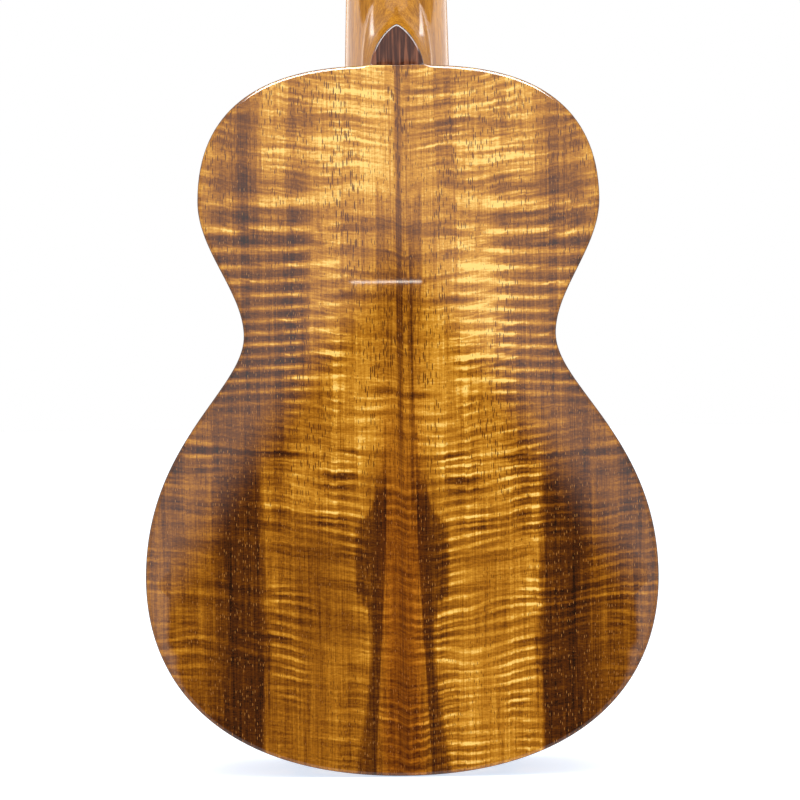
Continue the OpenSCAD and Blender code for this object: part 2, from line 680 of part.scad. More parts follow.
// Turns of string on each post, lying side by side, and the end that passes through the post
turns = 3;
winding_y = face_y + 2.3;
module winding(i) color(nylon) at_post(i) {
    d = string_d[i];
    for (k = [0 : turns - 1]) translate([0, winding_y + (k + 0.5) * (d + 0.04), 0])
        rotate([90, 0, 0]) rotate_extrude() translate([post_r + tiny + d / 2, 0]) circle(r = d / 2, $fn = 24);
    translate([0, string_hole_y, 0]) rod_x(d / 2, -post_r - 0.6, post_r + 2.5);
}

// ---- String routes: from the tie over the bridge and nut to the inner side of the post ----
function string_route(i) = let (
    r = string_d[i] / 2,
    xs = string_x(i, saddle_spread),
    xn = string_x(i, nut_spread),
    side = post_places[i][0] < 0 ? -1 : 1,
    reach = post_r + tiny + r,
    post = post_places[i],
    rest_y = winding_y + string_d[i] / 2,
    lead = sqrt(pow(reach, 2) - pow(reach - string_d[i] - 0.05, 2)),
    off = r + 0.1
) [
    [xs + 1.6, tie_top + off, tie_block[0] + 5],
    [xs + 1.5, tie_top + off, tie_block[0]],
    [xs + 1.3, tie_top + 0.7 * off, tie_block[0] - 0.7 * off],
    [xs + 1.1, tie_top, tie_block[0] - off],
    [xs + 0.5, tie_hole_y + 1.3, tie_block[0] - off - 0.4],
    [xs + 0.1, tie_hole_y + 0.2, tie_block[0] - off],
    [xs, tie_hole_y, tie_block[0] + 1],
    [xs, tie_hole_y, tie_block[1] - 0.5],
    [xs, tie_hole_y + 0.5, tie_block[1] + 0.7],
    [xs, action_saddle + off - 0.35, saddle_z - 1.5],
    [xs, action_saddle + off, saddle_z],
    [xn, action_nut + r + tiny, 0],
    [xn, action_nut + r + tiny, 0.5],
    from_head([post[0] - side * reach, rest_y, post[1] - lead])
];
function unit(v) = v / norm(v);
// Direction of the route at point k, between its neighbours
function route_way(p, k) = unit(p[min(k + 1, len(p) - 1)] - p[max(k - 1, 0)]);
tube_sides = 10;
module tube(route, r) loft([for (k = [0 : len(route) - 1])
    let (way = route_way(route, k), u = unit(cross(way, [1, 0, 0])), v = cross(way, u))
    [for (j = [0 : tube_sides - 1]) let (a = -360 * j / tube_sides)
        route[k] + r * (cos(a) * u + sin(a) * v)]]);
module string(i) color(nylon) tube(string_route(i), string_d[i] / 2);

soundboard_half(-1);  // soundboard_left
soundboard_half(1);  // soundboard_right
rosette();
back_half(-1);  // back_left
back_half(1);  // back_right
side_half(-1);  // side_left
side_half(1);  // side_right
neck_block();
tail_block();
tail_graft();
top_linings();
back_linings();
soundboard_braces();
bridge_plate();
back_braces();
back_seam_strip();
neck();
headstock();
head_overlay();
heel_cap();
fretboard();
frets();
inlay_dots();
nut();
neck_rod();
neck_bolt();
neck_insert();
bridge();
saddle();
string(0);  // string_g
string(1);  // string_c
string(2);  // string_e
string(3);  // string_a
winding(0);  // winding_g
winding(1);  // winding_c
winding(2);  // winding_e
winding(3);  // winding_a
tuner_plates();
tuner_bushings();
plate_screws();
worm_shaft(0);  // worm_shaft_g
worm_shaft(1);  // worm_shaft_c
worm_shaft(2);  // worm_shaft_e
worm_shaft(3);  // worm_shaft_a
tuner_button(0);  // tuner_button_g
tuner_button(1);  // tuner_button_c
tuner_button(2);  // tuner_button_e
tuner_button(3);  // tuner_button_a
string_post(0);  // string_post_g
string_post(1);  // string_post_c
string_post(2);  // string_post_e
string_post(3);  // string_post_a
worm_wheel(0);  // worm_wheel_g
worm_wheel(1);  // worm_wheel_c
worm_wheel(2);  // worm_wheel_e
worm_wheel(3);  // worm_wheel_a
wheel_screw(0);  // wheel_screw_g
wheel_screw(1);  // wheel_screw_c
wheel_screw(2);  // wheel_screw_e
wheel_screw(3);  // wheel_screw_a
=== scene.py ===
"""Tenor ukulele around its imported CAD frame, seen from straight behind its body."""
import math

import bmesh
import bpy
import numpy as np
from mathutils import Matrix, Vector
from mathutils.geometry import delaunay_2d_cdt


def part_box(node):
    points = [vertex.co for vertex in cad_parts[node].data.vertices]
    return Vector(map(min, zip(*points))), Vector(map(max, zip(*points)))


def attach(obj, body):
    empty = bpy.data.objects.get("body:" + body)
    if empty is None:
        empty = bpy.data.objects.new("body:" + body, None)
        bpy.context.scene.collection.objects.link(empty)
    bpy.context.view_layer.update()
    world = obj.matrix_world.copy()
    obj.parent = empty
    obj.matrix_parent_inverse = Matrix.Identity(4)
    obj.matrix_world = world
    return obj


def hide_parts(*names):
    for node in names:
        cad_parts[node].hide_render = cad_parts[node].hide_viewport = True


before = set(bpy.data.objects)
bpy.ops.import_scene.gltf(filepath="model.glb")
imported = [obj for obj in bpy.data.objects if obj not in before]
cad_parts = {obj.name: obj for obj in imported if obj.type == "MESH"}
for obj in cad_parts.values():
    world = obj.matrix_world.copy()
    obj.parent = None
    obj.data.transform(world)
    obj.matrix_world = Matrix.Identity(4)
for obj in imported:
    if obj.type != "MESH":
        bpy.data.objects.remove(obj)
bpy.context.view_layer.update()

# ---- Sizes in millimetres, as in the CAD source; mesh code works in these and scales at the end ----
MM = 0.001
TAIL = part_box("back_left")[0].z / MM
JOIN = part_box("back_left")[1].z / MM
BODY = JOIN - TAIL
PLATE = 2.0
DEPTH_TAIL, DEPTH_HEEL = 72.0, -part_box("heel_cap")[0].y / MM
ARCH_RADIUS = 4500.0
NUT_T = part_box("nut")[1].z / MM
HALF_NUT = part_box("nut")[1].x / MM
HALF_JOIN = 23.5
HEAD_TILT = math.radians(13)
TO_HEAD = Matrix.Translation((0, 0, NUT_T)) @ Matrix.Rotation(HEAD_TILT, 4, "X")

# ---- Curves ----
def bezier(p, t):
    weights = ((1 - t) ** 3, 3 * (1 - t) ** 2 * t, 3 * (1 - t) * t * t, t ** 3)
    return tuple(sum(w * q[k] for w, q in zip(weights, p)) for k in range(2))


def outline_of(curves, steps, lift=0.0):
    """The closed outline, anticlockwise from its lowest point, of curves that draw its right half."""
    right = [bezier(c, i / steps) for c in curves for i in range(steps)] + [curves[-1][3]]
    left = [(-x, h) for x, h in reversed(right) if x > 1e-6]
    return [(x, h + lift) for x, h in right + left]


def moved_in(outline, amounts):
    """A closed outline with each point moved to the left of its direction."""
    n, out = len(outline), []
    for i, (x, z) in enumerate(outline):
        tx = outline[(i + 1) % n][0] - outline[i - 1][0]
        tz = outline[(i + 1) % n][1] - outline[i - 1][1]
        d = math.hypot(tx, tz)
        out.append((x - tz / d * amounts[i], z + tx / d * amounts[i]))
    return out


def even(path, gap):
    """An open path with its points moved to lie about gap apart."""
    run = np.concatenate([[0], np.cumsum([math.dist(a, b) for a, b in zip(path, path[1:])])])
    at = np.linspace(0, run[-1], round(run[-1] / gap) + 1)
    return list(zip(*(np.interp(at, run, [p[k] for p in path]).tolist() for k in range(2))))


BODY_CURVES = [
    [(0, 0), (73, 0), (110, 35.5), (110, 85)],
    [(110, 85), (110, 143.5), (67, 166), (67, 189)],
    [(67, 189), (67, 208), (86.5, 226), (86.5, 247)],
    [(86.5, 247), (86.5, 310.5), (18, BODY), (0, BODY)],
]
BODY_OUTLINE = outline_of(BODY_CURVES, 48, TAIL)
HEAD_CURVES = [
    [(18.5, 0), (18.5, 11), (29.5, 10), (30.5, 25)],
    [(30.5, 25), (31.5, 50), (32.5, 80), (32.5, 108)],
    [(32.5, 108), (32.5, 118), (16, 117), (0, 122)],
]


def body_top(x):
    """Height of the body's upper edge at x."""
    top = [p for p in BODY_OUTLINE if p[1] > TAIL + 250 and p[0] >= 0]
    return float(np.interp(abs(x), [p[0] for p in reversed(top)], [p[1] for p in reversed(top)]))


CHORD = math.hypot(DEPTH_HEEL - DEPTH_TAIL, BODY)
ARCH_H = math.sqrt(ARCH_RADIUS ** 2 - (CHORD / 2) ** 2)
ARCH_Y = -(DEPTH_HEEL + DEPTH_TAIL) / 2 + ARCH_H * BODY / CHORD
ARCH_Z = TAIL + BODY / 2 - ARCH_H * (DEPTH_TAIL - DEPTH_HEEL) / CHORD


def arch(x, z):
    """Y of the back's arched outer face."""
    return ARCH_Y - math.sqrt(ARCH_RADIUS ** 2 - x * x - (z - ARCH_Z) ** 2)


# ---- Meshes ----
def make(name, verts, faces, material, body="instrument", slot=None, replaces=(), matrix=None,
         sharp=32, attribute=None, above=None):
    """A piece from points in millimetres, shaded smooth up to the angle sharp, riding on a body.
    above cuts it off flat below that height."""
    mesh = bpy.data.meshes.new(name)
    mesh.from_pydata([Vector(v) for v in verts], [], faces)
    mesh.validate()
    if above is not None:
        bm = bmesh.new()
        bm.from_mesh(mesh)
        cut = bmesh.ops.bisect_plane(bm, geom=[*bm.verts, *bm.edges, *bm.faces], plane_co=(0, 0, above),
                                     plane_no=(0, 0, 1), clear_inner=True)
        bmesh.ops.edgeloop_fill(bm, edges=[e for e in cut["geom_cut"] if isinstance(e, bmesh.types.BMEdge)])
        bm.to_mesh(mesh)
        bm.free()
    if attribute:
        layer = mesh.attributes.new("grain", "FLOAT_VECTOR", "POINT")
        layer.data.foreach_set("vector", [c * MM for v in attribute for c in v])
    if matrix:
        mesh.transform(matrix)
    mesh.transform(Matrix.Scale(MM, 4))
    bm = bmesh.new()
    bm.from_mesh(mesh)
    bmesh.ops.recalc_face_normals(bm, faces=bm.faces)
    bm.to_mesh(mesh)
    bm.free()
    mesh.shade_smooth()
    mesh.set_sharp_from_angle(angle=math.radians(sharp))
    obj = bpy.data.objects.new(name, mesh)
    bpy.context.scene.collection.objects.link(obj)
    mesh.materials.append(material)
    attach(obj, body)
    if replaces:
        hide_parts(*replaces)
    return obj


def inside(points, loop):
    """Which of the points lie inside a closed loop."""
    a, b = np.array(loop), np.roll(np.array(loop), -1, 0)
    x, z = points[:, :1], points[:, 1:]
    rises = (a[:, 1] > z) != (b[:, 1] > z)
    slope = (b[:, 0] - a[:, 0]) / np.where(b[:, 1] == a[:, 1], 1, b[:, 1] - a[:, 1])
    return (rises & (x < a[:, 0] + (z - a[:, 1]) * slope)).sum(1) % 2 == 1


def fill(loops, spacing):
    """Triangles of the region inside the first loop and outside the others, and the grid points added."""
    lo, hi = np.array(loops[0]).min(0), np.array(loops[0]).max(0)
    xs, zs = (np.arange(lo[k] + spacing / 2, hi[k], spacing) for k in range(2))
    grid = np.array([(x, z) for x in xs for z in zs]) if len(xs) and len(zs) else np.zeros((0, 2))
    rim = np.array([p for loop in loops for p in loop])
    if len(grid):
        gap = np.min(np.hypot(grid[:, :1] - rim[:, 0], grid[:, 1:] - rim[:, 1]), 1)
        keep = inside(grid, loops[0]) & (gap > spacing * 0.5)
        for hole in loops[1:]:
            keep &= ~inside(grid, hole)
        grid = grid[keep]
    points, edges = [Vector(p) for p in rim], []
    for loop in loops:
        s = len(edges)
        edges += [(s + i, s + (i + 1) % len(loop)) for i in range(len(loop))]
    points += [Vector(p) for p in grid]
    got = delaunay_2d_cdt(points, edges, [list(range(len(loops[0])))], 1, 1e-6)
    source = [o[0] for o in got[3]]
    faces = [[source[v] for v in f] for f in got[2]]
    if len(loops) > 1:
        centres = np.array([sum((points[v] for v in f), Vector((0, 0))) / 3 for f in faces])
        out = np.zeros(len(faces), bool)
        for hole in loops[1:]:
            out |= inside(centres, hole)
        faces = [f for f, o in zip(faces, out) if not o]
    return [tuple(p) for p in grid], faces


def plate(outline, radius, outer, inner, holes=(), spacing=6.0, steps=6):
    """A plate whose outer face has a rounded edge. radius, outer and inner are functions of x and z."""
    radii = [radius(*p) for p in outline]
    toward = 1 if inner(*outline[0]) > outer(*outline[0]) else -1
    verts, faces = [], []

    def put(points, height):
        verts.extend((x, y, z) for (x, z), y in zip(points, height))
        return list(range(len(verts) - len(points), len(verts)))

    def strip(a, b):
        faces.extend((a[i], a[(i + 1) % len(a)], b[(i + 1) % len(a)], b[i]) for i in range(len(a)))

    rings = []
    for k in range(steps + 1):
        a = math.pi / 2 * k / steps
        path = moved_in(outline, [r * (1 - math.sin(a)) for r in radii])
        rings.append(put(path, [outer(*p) + toward * r * (1 - math.cos(a)) for p, r in zip(path, radii)]))
    rings.append(put(outline, [inner(*p) for p in outline]))
    for a, b in zip(rings, rings[1:]):
        strip(a, b)
    ends = []
    for edge, face in ((rings[0], outer), (rings[-1], inner)):
        rim = [(verts[v][0], verts[v][2]) for v in edge]
        cut = [put(hole, [face(*p) for p in hole]) for hole in holes]
        grid, triangles = fill([rim, *holes], spacing)
        index = edge + [v for c in cut for v in c] + put(grid, [face(*p) for p in grid])
        faces.extend([index[v] for v in f] for f in triangles)
        ends.append(cut)
    for a, b in zip(*ends):
        strip(a, b)
    return verts, faces


def loft(rings, closed=True):
    """Rings of equal length joined into a solid with flat ends."""
    n = len(rings[0])
    verts = [p for ring in rings for p in ring]
    faces = [(k * n + i, k * n + (i + 1) % n, (k + 1) * n + (i + 1) % n, (k + 1) * n + i)
             for k in range(len(rings) - 1) for i in range(n)]
    if closed:
        faces += [list(range(n))[::-1], [(len(rings) - 1) * n + i for i in range(n)]]
    return verts, faces


def joined(parts):
    """Several meshes as one."""
    verts, faces = [], []
    for v, f in parts:
        s = len(verts)
        verts += list(v)
        faces += [[s + i for i in face] for face in f]
    return verts, faces


def circle(cx, cz, r, n=48):
    return [(cx + r * math.cos(2 * math.pi * i / n), cz + r * math.sin(2 * math.pi * i / n))
            for i in range(n)]


def smooth_path(points, steps):
    """A Catmull-Rom curve through the points."""
    p = [Vector(q) for q in points]
    p = [2 * p[0] - p[1], *p, 2 * p[-1] - p[-2]]
    out = []
    for a, b, c, d in zip(p, p[1:], p[2:], p[3:]):
        for i in range(steps):
            t = i / steps
            out.append(0.5 * (2 * b + (c - a) * t + (2 * a - 5 * b + 4 * c - d) * t * t
                              + (3 * b - a - 3 * c + d) * t ** 3))
    return out + [p[-2]]


def tube(path, radius, sides=12):
    """A round tube along a path, with domed ends."""
    way = [(path[min(i + 1, len(path) - 1)] - path[max(i - 1, 0)]).normalized() for i in range(len(path))]
    u = way[0].orthogonal().normalized()
    rings = []
    for i, (p, w) in enumerate(zip(path, way)):
        u = (u - w * u.dot(w)).normalized()
        v = w.cross(u)
        ring = [p + radius * (math.cos(a) * u + math.sin(a) * v)
                for a in (2 * math.pi * j / sides for j in range(sides))]
        for end, sign in ((0, -1), (len(path) - 1, 1)):
            if i == end:
                dome = [[p + 0.7 * (q - p) + w * sign * radius * 0.6 for q in ring],
                        [p + 0.2 * (q - p) + w * sign * radius * 0.85 for q in ring]]
                rings += [dome[1], dome[0], ring] if sign < 0 else [ring, *dome]
        if 0 < i < len(path) - 1:
            rings.append(ring)
    return loft(rings)


# ---- Materials ----
def linear(r, g, b):
    """A colour given as 0 to 255."""
    c = [v / 255 for v in (r, g, b)]
    return (*[v / 12.92 if v <= 0.04045 else ((v + 0.055) / 1.055) ** 2.4 for v in c], 1)


class Tree:
    """Builds one material's nodes. Values may be numbers, colours or sockets."""

    def __init__(self, name):
        self.material = bpy.data.materials.new(name)
        self.material.use_nodes = True
        self.nodes, self.links = self.material.node_tree.nodes, self.material.node_tree.links
        self.nodes.clear()
        self.shader = self.nodes.new("ShaderNodeBsdfPrincipled")
        out = self.nodes.new("ShaderNodeOutputMaterial")
        self.links.new(self.shader.outputs[0], out.inputs[0])

    def put(self, socket, value):
        if isinstance(value, bpy.types.NodeSocket):
            self.links.new(value, socket)
        elif value is not None:
            socket.default_value = value

    def node(self, kind, *values, **props):
        n = self.nodes.new("ShaderNode" + kind)
        for k, v in props.items():
            setattr(n, k, v)
        for socket, value in zip(n.inputs, values):
            self.put(socket, value)
        return n

    def math(self, operation, a, b=None):
        return self.node("Math", a, b, operation=operation).outputs[0]

    def chain(self, operation, total, *more):
        for value in more:
            total = self.math(operation, total, value)
        return total

    def add(self, *values):
        return self.chain("ADD", *values)

    def sub(self, a, b):
        return self.math("SUBTRACT", a, b)

    def mul(self, *values):
        return self.chain("MULTIPLY", *values)

    def vector(self, x, y, z):
        return self.node("CombineXYZ", x, y, z).outputs[0]

    def smooth(self, value, low, high, start=0.0, end=1.0):
        """start below low, end above high, with a soft step between."""
        return self.node("MapRange", value, low, high, start, end, interpolation_type="SMOOTHSTEP").outputs[0]

    def noise(self, vector, detail=2.0, rough=0.5, distortion=0.0, scale=1.0):
        n = self.node("TexNoise", noise_dimensions="3D")
        for k, v in (("Vector", vector), ("Scale", scale), ("Detail", detail), ("Roughness", rough),
                     ("Distortion", distortion)):
            self.put(n.inputs[k], v)
        return n.outputs["Fac"]

    def dashes(self, x, z, wide, long, size):
        """1 in short strokes along z, about one to each wide by long cell; size is half their width,
        in cells."""
        n = self.node("TexVoronoi", voronoi_dimensions="2D", feature="F1")
        self.put(n.inputs["Vector"], self.vector(self.mul(x, 1 / wide), self.mul(z, 1 / long), 0.0))
        self.put(n.inputs["Scale"], 1.0)
        chance = self.node("SeparateXYZ", n.outputs["Color"]).outputs[0]
        reach = self.mul(self.smooth(chance, 0.25, 0.75), size)
        return self.smooth(self.sub(n.outputs["Distance"], reach), -0.05, 0.0, 1.0, 0.0)

    def mix(self, fac, a, b, blend="MIX"):
        n = self.node("Mix", data_type="RGBA", blend_type=blend, clamp_factor=True)
        for k, v in ((0, fac), (6, a), (7, b)):
            self.put(n.inputs[k], v)
        return n.outputs[2]

    def ramp(self, fac, *stops):
        n = self.node("ValToRGB", fac)
        e = n.color_ramp.elements
        while len(e) < len(stops):
            e.new(0.5)
        for element, (at, colour) in zip(e, stops):
            element.position, element.color = at, linear(*colour)
        return n.outputs[0]

    def bump(self, height, strength, distance):
        n = self.node("Bump")
        self.put(n.inputs["Height"], height)
        n.inputs["Strength"].default_value = strength
        n.inputs["Distance"].default_value = distance
        return n.outputs[0]

    def finish(self, **values):
        for k, v in values.items():
            self.put(self.shader.inputs[k.replace("_", " ")], v)
        return self.material


KOA_TONES = ((0.0, (36, 16, 5)), (0.2, (74, 36, 7)), (0.4, (117, 66, 10)), (0.6, (158, 99, 20)),
             (0.8, (198, 138, 42)), (1.0, (238, 194, 102)))
KOA_PORE, KOA_GLEAM = (76, 34, 10), (190, 128, 60)
WAVE_PITCH = 4.3      # millimetres from one fine regular line to the next


def koa_colour(t, x, z, figure, curl=1.0, bars=1.0, waves=0.5, pores=1.0, pore_x=None):
    """Colour and pores of koa, x millimetres across and z along its grain; figure is the tone before its
    details. curl, bars, waves and pores are the strengths of its figure, its dark bars, its fine regular
    lines and its pores; pore_x places the pores across it, where x is mirrored."""
    pore_x = pore_x or x

    def grain(across, seed, along, length=z, detail=1, rough=0.5):
        """Noise with a scale across and along the grain, per millimetre."""
        return t.noise(t.vector(t.mul(x, across), seed, t.mul(length, along)), detail, rough)

    column = t.sub(grain(0.7, 3.0, 0.015, z, 2, 0.6), 0.5)
    drift = t.sub(grain(0.018, 5.0, 0.014), 0.5)
    ring = t.smooth(grain(0.11, 51.0, 0.005), 0.475, 0.5)
    level = t.add(t.sub(z, t.mul(x, 0.12)), t.mul(column, 0.6), t.mul(drift, 9), t.mul(ring, 0.4))
    # curl: dark bars with bright rims, lines between them, and fine regular lines over both
    bar = grain(0.012, 7.0, 0.12, level)
    line = grain(0.02, 11.0, 0.33, level, 2, 0.6)
    thin = grain(0.05, 13.0, 0.9, level)
    bend = grain(0.02, 19.0, 0.04, level)
    wave = t.math("SINE", t.add(t.mul(level, 2 * math.pi / WAVE_PITCH), t.mul(bend, 22)))
    ripple = t.add(t.mul(t.smooth(bar, 0.53, 0.60), bars, -0.26),
                   t.mul(band(t, bar, 0.50, 0.008, 0.03), 0.10),
                   t.mul(t.sub(t.smooth(line, 0.38, 0.64), 0.45), 0.24),
                   t.mul(t.sub(thin, 0.5), 0.3),
                   t.mul(t.sub(t.smooth(wave, -0.2, 1.0), 0.35), waves, 0.26))
    patch = t.smooth(grain(0.045, 17.0, 0.02, z, 2), 0.3, 0.62, 0.35, 1.15)
    tone = t.add(figure, t.mul(ripple, t.smooth(figure, 0.15, 0.6, 0.4, 1.0), patch, curl))
    # straight grain: fibres, streaks, specks, growth rings with crisp edges, and dark hairlines
    fibre = grain(1.3, 23.0, 0.02, z, 3, 0.65)
    streak = grain(0.3, 27.0, 0.01, z, 2, 0.6)
    fleck = grain(0.5, 29.0, 1.3, z, 2, 0.7)
    hair = t.smooth(grain(1.7, 37.0, 0.05), 0.6, 0.68)
    for strand, strength in ((fibre, 0.56), (streak, 0.30), (fleck, 0.46), (ring, 0.07)):
        tone = t.add(tone, t.mul(t.sub(strand, 0.5), strength))
    tone = t.sub(tone, t.mul(hair, 0.10))
    colour = t.ramp(tone, *KOA_TONES)
    # pores: dark on pale wood, with some pale ones on dark wood
    crowd = t.smooth(grain(0.06, 61.0, 0.012), 0.36, 0.6, 0.14, 0.30)
    pore = t.dashes(pore_x, z, 0.78, 5.2, t.mul(crowd, pores))
    gleam = t.mul(t.dashes(t.add(pore_x, 31.0), z, 0.9, 5.0, 0.16), t.smooth(tone, 0.25, 0.5, 0.6, 0.0))
    shown = t.smooth(t.smooth(tone, 0.3, 0.55), 0, 1, 0.35, 0.92)
    colour = t.mix(gleam, colour, linear(*KOA_GLEAM))
    return t.mix(t.mul(pore, shown), colour, linear(*KOA_PORE)), pore


def gloss(t, colour, pore=None, **values):
    """A thick clear finish over wood."""
    values = {"Coat_Weight": 1.0, "Coat_Roughness": 0.02, **values}
    if pore is not None:
        values["Normal"] = t.bump(pore, -0.12, 0.0002)
    return t.finish(Base_Color=colour, Roughness=0.45, Specular_IOR_Level=0.0, Coat_IOR=1.52, **values)


def band(t, value, centre, half, soft):
    """1 within half of centre, falling to 0 over soft."""
    return t.smooth(t.math("ABSOLUTE", t.sub(value, centre)), half, t.add(half, soft), 1.0, 0.0)


def profile(t, value, top, *stops):
    """A tone drawn as straight stretches between stops, over values from 0 to top."""
    n = t.node("ValToRGB", t.mul(value, 1 / top))
    e = n.color_ramp.elements
    while len(e) < len(stops):
        e.new(0.5)
    for element, (at, tone) in zip(e, stops):
        element.position, element.color = at / top, (tone, tone, tone, 1)
    return n.outputs[0]


PROFILE_END = 120     # millimetres from the joint, past the body's edge
# tone against the distance from the joint, at four heights from the tail up
LOW = ((0, 0.42), (9, 0.45), (17, 0.61), (28, 0.64), (38, 0.60), (57, 0.62), (61, 0.18), (74, 0.14),
       (78, 0.30), (PROFILE_END, 0.36))
WAIST = ((0, 0.63), (7, 0.62), (12, 0.65), (28, 0.71), (38, 0.60), (50, 0.48), (60, 0.36), (72, 0.34),
         (PROFILE_END, 0.52))
HIGH = ((0, 0.54), (8, 0.58), (22, 0.73), (32, 0.76), (46, 0.64), (56, 0.50), (72, 0.49), (PROFILE_END, 0.60))
CROWN = ((0, 0.66), (9, 0.76), (24, 0.77), (36, 0.76), (56, 0.77), (63, 0.52), (73, 0.50), (78, 0.62),
         (PROFILE_END, 0.66))


def koa_back():
    """Two mirrored halves: golden in the upper body, amber with broad dark bands in the lower."""
    t = Tree("koa_back")
    coord = t.node("TexCoord").outputs
    pos = t.node("SeparateXYZ", coord["Object"]).outputs
    x = t.mul(pos[0], 1 / MM)
    mirror = t.math("ABSOLUTE", x)
    h = t.mul(t.sub(pos[2], TAIL * MM), 1 / MM)
    wander = t.sub(t.noise(t.vector(t.mul(mirror, 0.01), 41.0, t.mul(h, 0.016)), 2), 0.5)
    ragged = t.sub(t.noise(t.vector(t.mul(mirror, 0.5), 43.0, t.mul(h, 0.05)), 3, 0.7), 0.5)
    a = t.add(mirror, t.mul(wander, 9), t.mul(ragged, 6))
    rise = t.add(h, t.mul(wander, 40), t.mul(ragged, 20))

    def across(*at):
        return band(t, a, *at)

    def along(*at):
        return band(t, h, *at)

    tone = profile(t, a, PROFILE_END, *LOW)
    for stops, bottom, top in ((WAIST, 112, 142), (HIGH, 176, 200), (CROWN, 234, 260)):
        up = t.smooth(rise, bottom, top)
        tone = t.add(t.mul(tone, t.sub(1.0, up)), t.mul(profile(t, a, PROFILE_END, *stops), up))

    # dark streaks that leave the joint at the waist, widest about 92 mm up and at the tail
    near = t.add(mirror, t.mul(ragged, 1.6))
    edge = t.smooth(h, -20, 125, 12.5, 6.6)
    wide = t.add(t.smooth(h, 0, 45, 6.0, 2.6), t.mul(band(t, rise, 92, 12, 18), 8))
    streak = t.mul(t.smooth(t.sub(near, edge), -0.6, 0.2),
                   t.smooth(t.sub(near, t.add(edge, wide)), 0, 3, 1, 0))
    # hand is -1 where x is below 0 and 1 above: the halves mirror each other's shape, not their painted sheen
    hand = t.smooth(x, -3, 3, -1.0, 1.0)
    left = t.smooth(x, -1, 1, 1.0, 0.0)
    seam = band(t, t.add(mirror, t.mul(ragged, 1.5)), 0, 0.7, 1.0)
    beside = band(t, t.add(x, t.mul(ragged, 3)), 5, 0.5, 0.8)
    # broad dark bars between thin bright lines, closer together towards the waist
    climb = t.sub(t.add(h, t.mul(mirror, 0.03), t.mul(wander, 8), hand), 195)
    climb = t.math("MINIMUM", climb, 80)
    turns = t.sub(t.mul(climb, 0.2), t.mul(climb, t.math("MAXIMUM", climb, 0), 0.0012))
    swell = t.math("SINE", t.mul(turns, 2 * math.pi))
    bar = t.sub(t.mul(t.smooth(swell, 0.5, 1.0), 0.20), t.mul(t.smooth(swell, 0.3, -0.5), 0.17))
    barred = t.mul(along(210, 38, 26), t.add(across(62, 16, 10), t.mul(across(36, 8, 8), 0.7)))
    for amount, *where in (
        (-0.30, streak, t.smooth(h, 112, 150, 1, 0)),
        (-0.15, across(36, 6, 8), band(t, rise, 84, 10, 22)),
        # painted shade: darker towards the tail, offsetting the light that the floor throws up onto it
        (-0.05, t.smooth(h, 30, 78, 1, 0)),
        # painted sheen: these four lighten one half and darken the other, as the curl on each half catches
        # the light differently
        (0.05, hand, across(52, 16, 10), along(180, 40, 22)),
        (0.05, hand, across(32, 14, 14), along(205, 18, 25)),
        (0.09, hand, across(40, 16, 8), t.smooth(h, 118, 100)),
        (-0.08, hand, across(14, 8, 12), t.smooth(h, 236, 258)),
        (-0.12, left, across(44, 5, 1.5), along(240, 50, 20)),
        (-0.12, left, across(66, 4, 1.5), along(258, 24, 12)),
        (-0.07, t.sub(1.0, left), across(22, 4, 2), t.smooth(h, 245, 265)),
        (-0.26, seam, t.smooth(h, 120, 160)),
        (-0.20, beside, along(175, 40, 30)),
        (0.07, left, t.smooth(a, 68, 84), t.smooth(h, 150, 125)),
        (1.0, bar, barred),
    ):
        tone = t.add(tone, t.mul(*where, amount))

    # strengths of the koa's own figure, bars, fine lines and pores
    curl = t.math("MINIMUM", t.smooth(mirror, 1, 10, 0.5, 1.0), t.smooth(h, 90, 150, 0.75, 1.0))
    bars = t.mul(t.smooth(h, 90, 150, 0.3, 1.0), t.smooth(h, 225, 262, 1.0, 0.35),
                 t.smooth(barred, 0, 1, 1.0, 0.25))
    patchy = t.add(t.noise(t.vector(t.add(t.mul(x, 0.03), 9.0), 47.0, t.mul(h, 0.03)), 1), t.mul(hand, 0.06))
    waves = t.mul(t.smooth(h, 100, 170, 1.5, 0.45), t.smooth(patchy, 0.38, 0.6, 0.15, 1.2))
    pores = t.add(t.smooth(h, 95, 140, 0.62, 1.0),
                  t.mul(band(t, x, -4, 18, 12), t.smooth(h, 150, 200, 0, 0.3)))
    colour, pore = koa_colour(t, mirror, t.add(h, t.mul(hand, 1.2)), tone, curl, bars, waves, pores, x)
    # a red strip at the joint of the lower body, the joint itself, and painted shade on the rounded rim where
    # the surface turns away, where the finish also mirrors less
    red = t.mul(band(t, mirror, 0, 5, 8), t.smooth(h, 90, 190, 1, 0), 0.6)
    colour = t.mix(red, colour, t.mix(1.0, colour, linear(255, 226, 210), "MULTIPLY"))
    colour = t.mix(t.smooth(mirror, 0.1, 0.5, 0.45, 0.0), colour, linear(70, 34, 12))
    turned = t.node("SeparateXYZ", coord["Normal"]).outputs[1]
    # painted shade: the rim darkens as its surface turns away from the back's face
    colour = t.mix(t.smooth(turned, -0.75, -0.3, 0.0, 0.85), colour, linear(58, 26, 10))
    return gloss(t, colour, pore, Coat_Weight=t.smooth(turned, -0.68, -0.4, 1.0, 0.2))


def koa_sheet(name, source):
    """Koa whose grain runs along the third axis of a vector in metres."""
    t = Tree(name)
    if source == "grain":
        vector = t.node("Attribute", attribute_name="grain", attribute_type="GEOMETRY").outputs["Vector"]
    else:
        vector = t.node("TexCoord").outputs["Object"]
    pos = t.node("SeparateXYZ", vector).outputs
    x, z = (t.mul(pos[k], 1 / MM) for k in (0, 2))
    if source != "grain":
        x = t.math("ABSOLUTE", x)
    broad = t.noise(t.vector(t.mul(x, 0.05), 2.0, t.mul(z, 0.006)), 3)
    colour, pore = koa_colour(t, x, z, t.smooth(broad, 0.3, 0.7, 0.36, 0.72))
    if source != "grain":
        colour = t.mix(t.smooth(x, 0.1, 0.4, 0.5, 0.0), colour, linear(58, 30, 12))
    return gloss(t, colour, pore)


